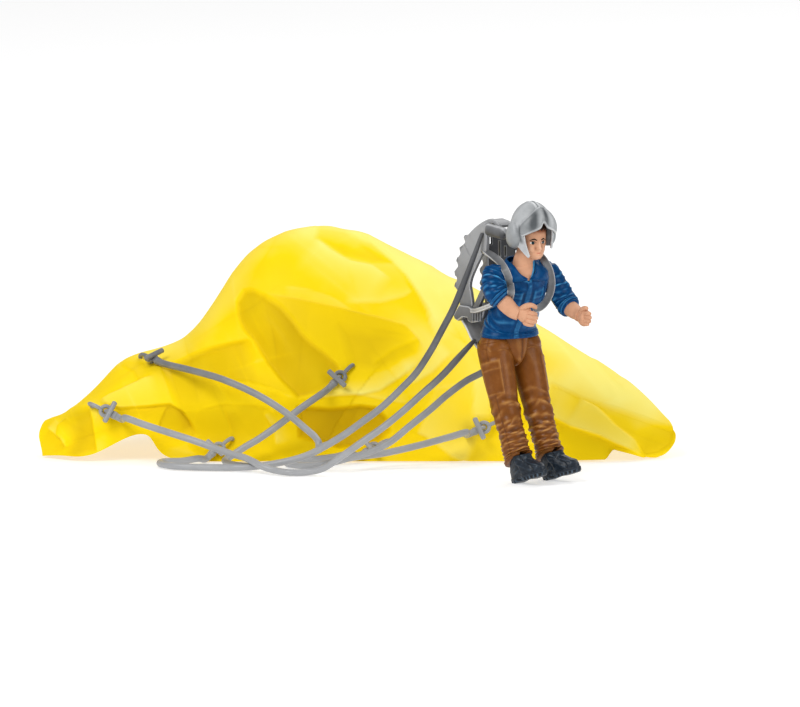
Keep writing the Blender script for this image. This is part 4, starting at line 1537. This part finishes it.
crown_gap = np.abs(np.sin(shell_angle) * SHELL_WIDE * np.sqrt(np.clip(1 - (shell_height / SHELL_TOP) ** 2, 0, 1)))
high = shell_height > 0.0078
beside_cup = bump(np.abs(shell_angle), 1.16, 0.10) * window(shell_height, -0.0046, 0.0030, 0.0012)
shell_paint = (0.4 * bump(shell_share, 1, 0.014) + (0.5 * bump(crown_gap, 0.0008, 0.0003) - 1.2 * bump(crown_gap, 0, 0.0003)) * high
               - 0.9 * beside_cup + 0.2 * bump(shell_angle, -1.3, 0.6))
give_value(shell, np.append(shell_paint * np.ones_like(shell_height), 0))
give_wall(shell, 0.0008, 0)
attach(shell, "helmet")
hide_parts("helmet_shell")

# %% Raised band with its notch
BAND_REACH = math.radians(60)
band_angle = np.linspace(-1, 1, 140)[:, None] * BAND_REACH
band_share = np.linspace(0, 1, 36)[None, :]
turn_share = np.abs(band_angle) / BAND_REACH
band_top = 0.0028 + 0.0058 * np.cos(turn_share * math.pi / 2) ** 0.9
band_low = 0.0018 - 0.0032 * turn_share**1.4 + 0.0018 / (1 + (turn_share / 0.13) ** 4)
band_middle = (band_top + band_low) / 2
band_round = np.sqrt(np.clip(1 - (np.clip(turn_share - 0.94, 0, 1) / 0.065) ** 2, 0.02, 1))
band_height = band_middle + (band_top - band_low) * (band_share - 0.5) * band_round
band_rims = bump(band_share, 0.03, 0.035) + bump(band_share, 0.97, 0.035)
band_out = 0.0005 + 0.0009 * np.sin(math.pi * band_share) ** 0.4 * band_round + 0.0002 * band_rims
band_grid = shell_point(band_angle + 0 * band_share, band_height, band_out)
band = add_mesh("helmet_band", head_place(band_grid.reshape(-1, 3), HELMET_TURN), grid_faces(140, 36, False), HELMET_PLASTIC)
band_wash = (-0.75 * bump(band_angle, -0.50, 0.22) - 0.8 * bump(band_angle, 0.12, 0.10) + 0.3 * bump(band_angle, -0.15, 0.14)
             + 0.6 * bump(band_angle, 0.42, 0.20))
give_value(band, 0.55 * band_rims + band_wash * np.sin(math.pi * band_share) ** 0.5 - 0.25)
give_wall(band, 0.0008, 0)
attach(band, "helmet")
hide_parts("helmet_visor")

# %% Ear cups
for side, label in ((-1, "right"), (1, "left")):
    turn = np.linspace(0, 2 * math.pi, 64, endpoint=False)[None, :]
    lift = np.linspace(-math.pi / 2 + 0.02, math.pi / 2 - 0.02, 40)[:, None]
    narrow = 1 - 0.22 * np.sin(turn)
    shape = np.stack([0.0024 * np.sin(lift) + 0 * turn, 0.0041 * narrow * np.cos(lift) ** 0.5 * np.cos(turn),
                      0.0053 * np.cos(lift) ** 0.5 * np.sin(turn)], axis=-1)
    cup = add_tube("ear_cup_dome_" + label, head_place(shape + [side * 0.0074, 0.0006, -0.0015], HELMET_TURN), HELMET_PLASTIC)
    give_value(cup, np.append((-0.2 + 0.35 * np.sin(turn) * np.cos(lift) + 0 * lift).ravel(), [0, 0]))
    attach(cup, "helmet")
    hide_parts("ear_cup_" + label)

# %% [markdown]
# ## Boots
#
# A boot stands tipped back on its heel. Its rings run from the sole up, an egg
# that is fuller at the toe. The welt sticks out, the sole has lugs, and laces
# cross the front.

# %% Boots
BOOT_LENGTH = 0.0164
BOOT_WIDE = 0.0033
BOOT_TALL = 0.0090
SOLE = 0.0019
# Level, front, back and half width, as shares of the boot's height, length and width.
BOOT_SHARES = np.array((
    (0.00, -0.580, 0.375, 0.94), (0.06, -0.610, 0.388, 1.06), (0.205, -0.618, 0.392, 1.10), (0.215, -0.598, 0.380, 0.98),
    (0.34, -0.600, 0.385, 1.00), (0.50, -0.545, 0.378, 0.98), (0.64, -0.400, 0.352, 0.93), (0.80, -0.270, 0.320, 0.94),
    (1.00, -0.225, 0.305, 1.00),
))
HEELS = {
    "right": (((0.70711, -0.6725, -0.21851), (0.70711, 0.6725, 0.21851), (0.0, -0.30902, 0.95106)), (0.0, 0.0, -0.00045)),
    "left": (((0.61566, -0.74944, -0.24351), (0.78801, 0.58553, 0.19025), (0.0, -0.30902, 0.95106)), (0.01077, 0.00754, -0.00045)),
}
BOOT_ROWS, BOOT_SIDES = 90, 140


def boot_rings():
    """Rings of the boot in its own axes, toe to -Y, with lugs cut into the sole and creases pressed into the upper."""
    level = np.concatenate([np.linspace(0, 0.22, 26), np.linspace(0.225, 1, BOOT_ROWS - 26)])[:, None]
    front, back, wide = (np.interp(level, BOOT_SHARES[:, 0], BOOT_SHARES[:, k]) for k in (1, 2, 3))
    angle = np.linspace(0, 2 * math.pi, BOOT_SIDES, endpoint=False)[None, :]
    middle, reach = (front + back) / 2 * BOOT_LENGTH, (back - front) / 2 * BOOT_LENGTH
    heel_shift = 0.00145 - 0.39 * BOOT_LENGTH
    share = np.cos(angle)
    waist = 1 - 0.12 * np.cos(2 * angle) * (share < 0) - 0.10 * bump(share, 0.25, 0.25) * (level < 0.3)
    folds = wave_relief(angle, level, ((7, 2, 0.4), (9, -3, 1.2), (5, 2, 2.2)), 0.00012) * window(level, 0.24, 0.98, 0.10)
    cap = -0.00022 * bump(share, -0.62, 0.03) * (level > 0.22)
    lugs = -0.0005 * (np.sin(share * 34) > 0.1) * window(level, -0.02, 0.11, 0.01) * np.ones_like(angle)
    grow = folds + cap + lugs
    across = (BOOT_WIDE * wide * waist + grow) * np.sign(np.sin(angle)) * np.abs(np.sin(angle)) ** 0.82
    along = middle + heel_shift + (reach + grow) * share
    arch = 0.0014 * bump(share, 0.30, 0.16) * (1 - np.clip(level / 0.2, 0, 1))
    height = level * BOOT_TALL + arch + 0 * angle
    return np.stack([across, along, height], axis=-1), np.broadcast_to(grow, across.shape)


boot_grid, boot_grow = boot_rings()
for label, (axes, place) in HEELS.items():
    turn = np.array(axes)
    boot = add_tube("boot_upper_" + label, (boot_grid @ turn.T + place), BOOT_PAINT)
    give_paint(boot, boot_grow, 0.0006)
    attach(boot, label + "_leg")
    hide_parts("boot_" + label)
    laces = []
    for step in np.linspace(0, 1, 5):
        height, y = 0.0046 + 0.0036 * step, -0.0120 + 0.0056 * step
        for lean in (-1, 1):
            path = through([(-0.0018, y + 0.0010, height - lean * 0.0004), (0, y - 0.0004, height + 0.0004),
                            (0.0018, y + 0.0010, height + lean * 0.0004)], 14)
            laces.append(closed_tube(rings_round(path, 0.00026, 0.00026, 8, (0, 0, 1)) @ turn.T + place))
    lace = add_joined("laces_" + label, laces, BOOT_PAINT)
    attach(lace, label + "_leg")

# %% [markdown]
# ## Table and light
#
# The toy stands on a plain white table in soft, even light. A broad lamp from the
# upper left gives the folds their shape, and a weaker one fills the shadows.

# %% Table and light
TABLE_SIZE = 3.0
table_paint = blotched("white_table", "#CFCFCF", "#D3D3D3", 0.2, 0.01, 0.0, (0.8, 0.9), Emission_Color=(1, 1, 1, 1), Emission_Strength=0.5)
table_corners = np.array([(-1, -1, 0), (1, -1, 0), (1, 1, 0), (-1, 1, 0)]) * TABLE_SIZE
table = add_mesh("table", table_corners, [(0, 1, 2, 3)], table_paint)
table.location.z = -0.0001


def add_lamp(name, place, size, power):
    """A square lamp that faces the middle of the toy."""
    data = bpy.data.lights.new(name, "AREA")
    data.size = size
    data.energy = power
    lamp = bpy.data.objects.new(name, data)
    lamp.location = place
    aimed = np.array([-0.04, 0.05, 0.03]) - np.array(place)
    lamp.rotation_euler = (math.atan2(math.hypot(aimed[0], aimed[1]), -aimed[2]), 0,
                           math.atan2(aimed[1], aimed[0]) - math.pi / 2)
    COLLECTION.objects.link(lamp)
    return lamp


add_lamp("key", (-0.6, -0.7, 0.9), 0.6, 8)
add_lamp("fill", (0.9, -0.8, 0.5), 0.7, 5)
add_lamp("back", (0.3, 0.8, 1.0), 0.8, 6)

world = bpy.data.worlds.new("studio")
bpy.context.scene.world = world
world.use_nodes = True
sky = world.node_tree
background = sky.nodes["Background"]
background.inputs["Color"].default_value = (1, 1, 1, 1)
ray = add_node(sky, "ShaderNodeLightPath")
seen = add_node(sky, "ShaderNodeMapRange", [("Value", ray.outputs["Is Camera Ray"]), ("To Min", 0.4), ("To Max", 1.0)])
sky.links.new(seen.outputs[0], background.inputs["Strength"])
bpy.context.scene.view_settings.view_transform = "Standard"
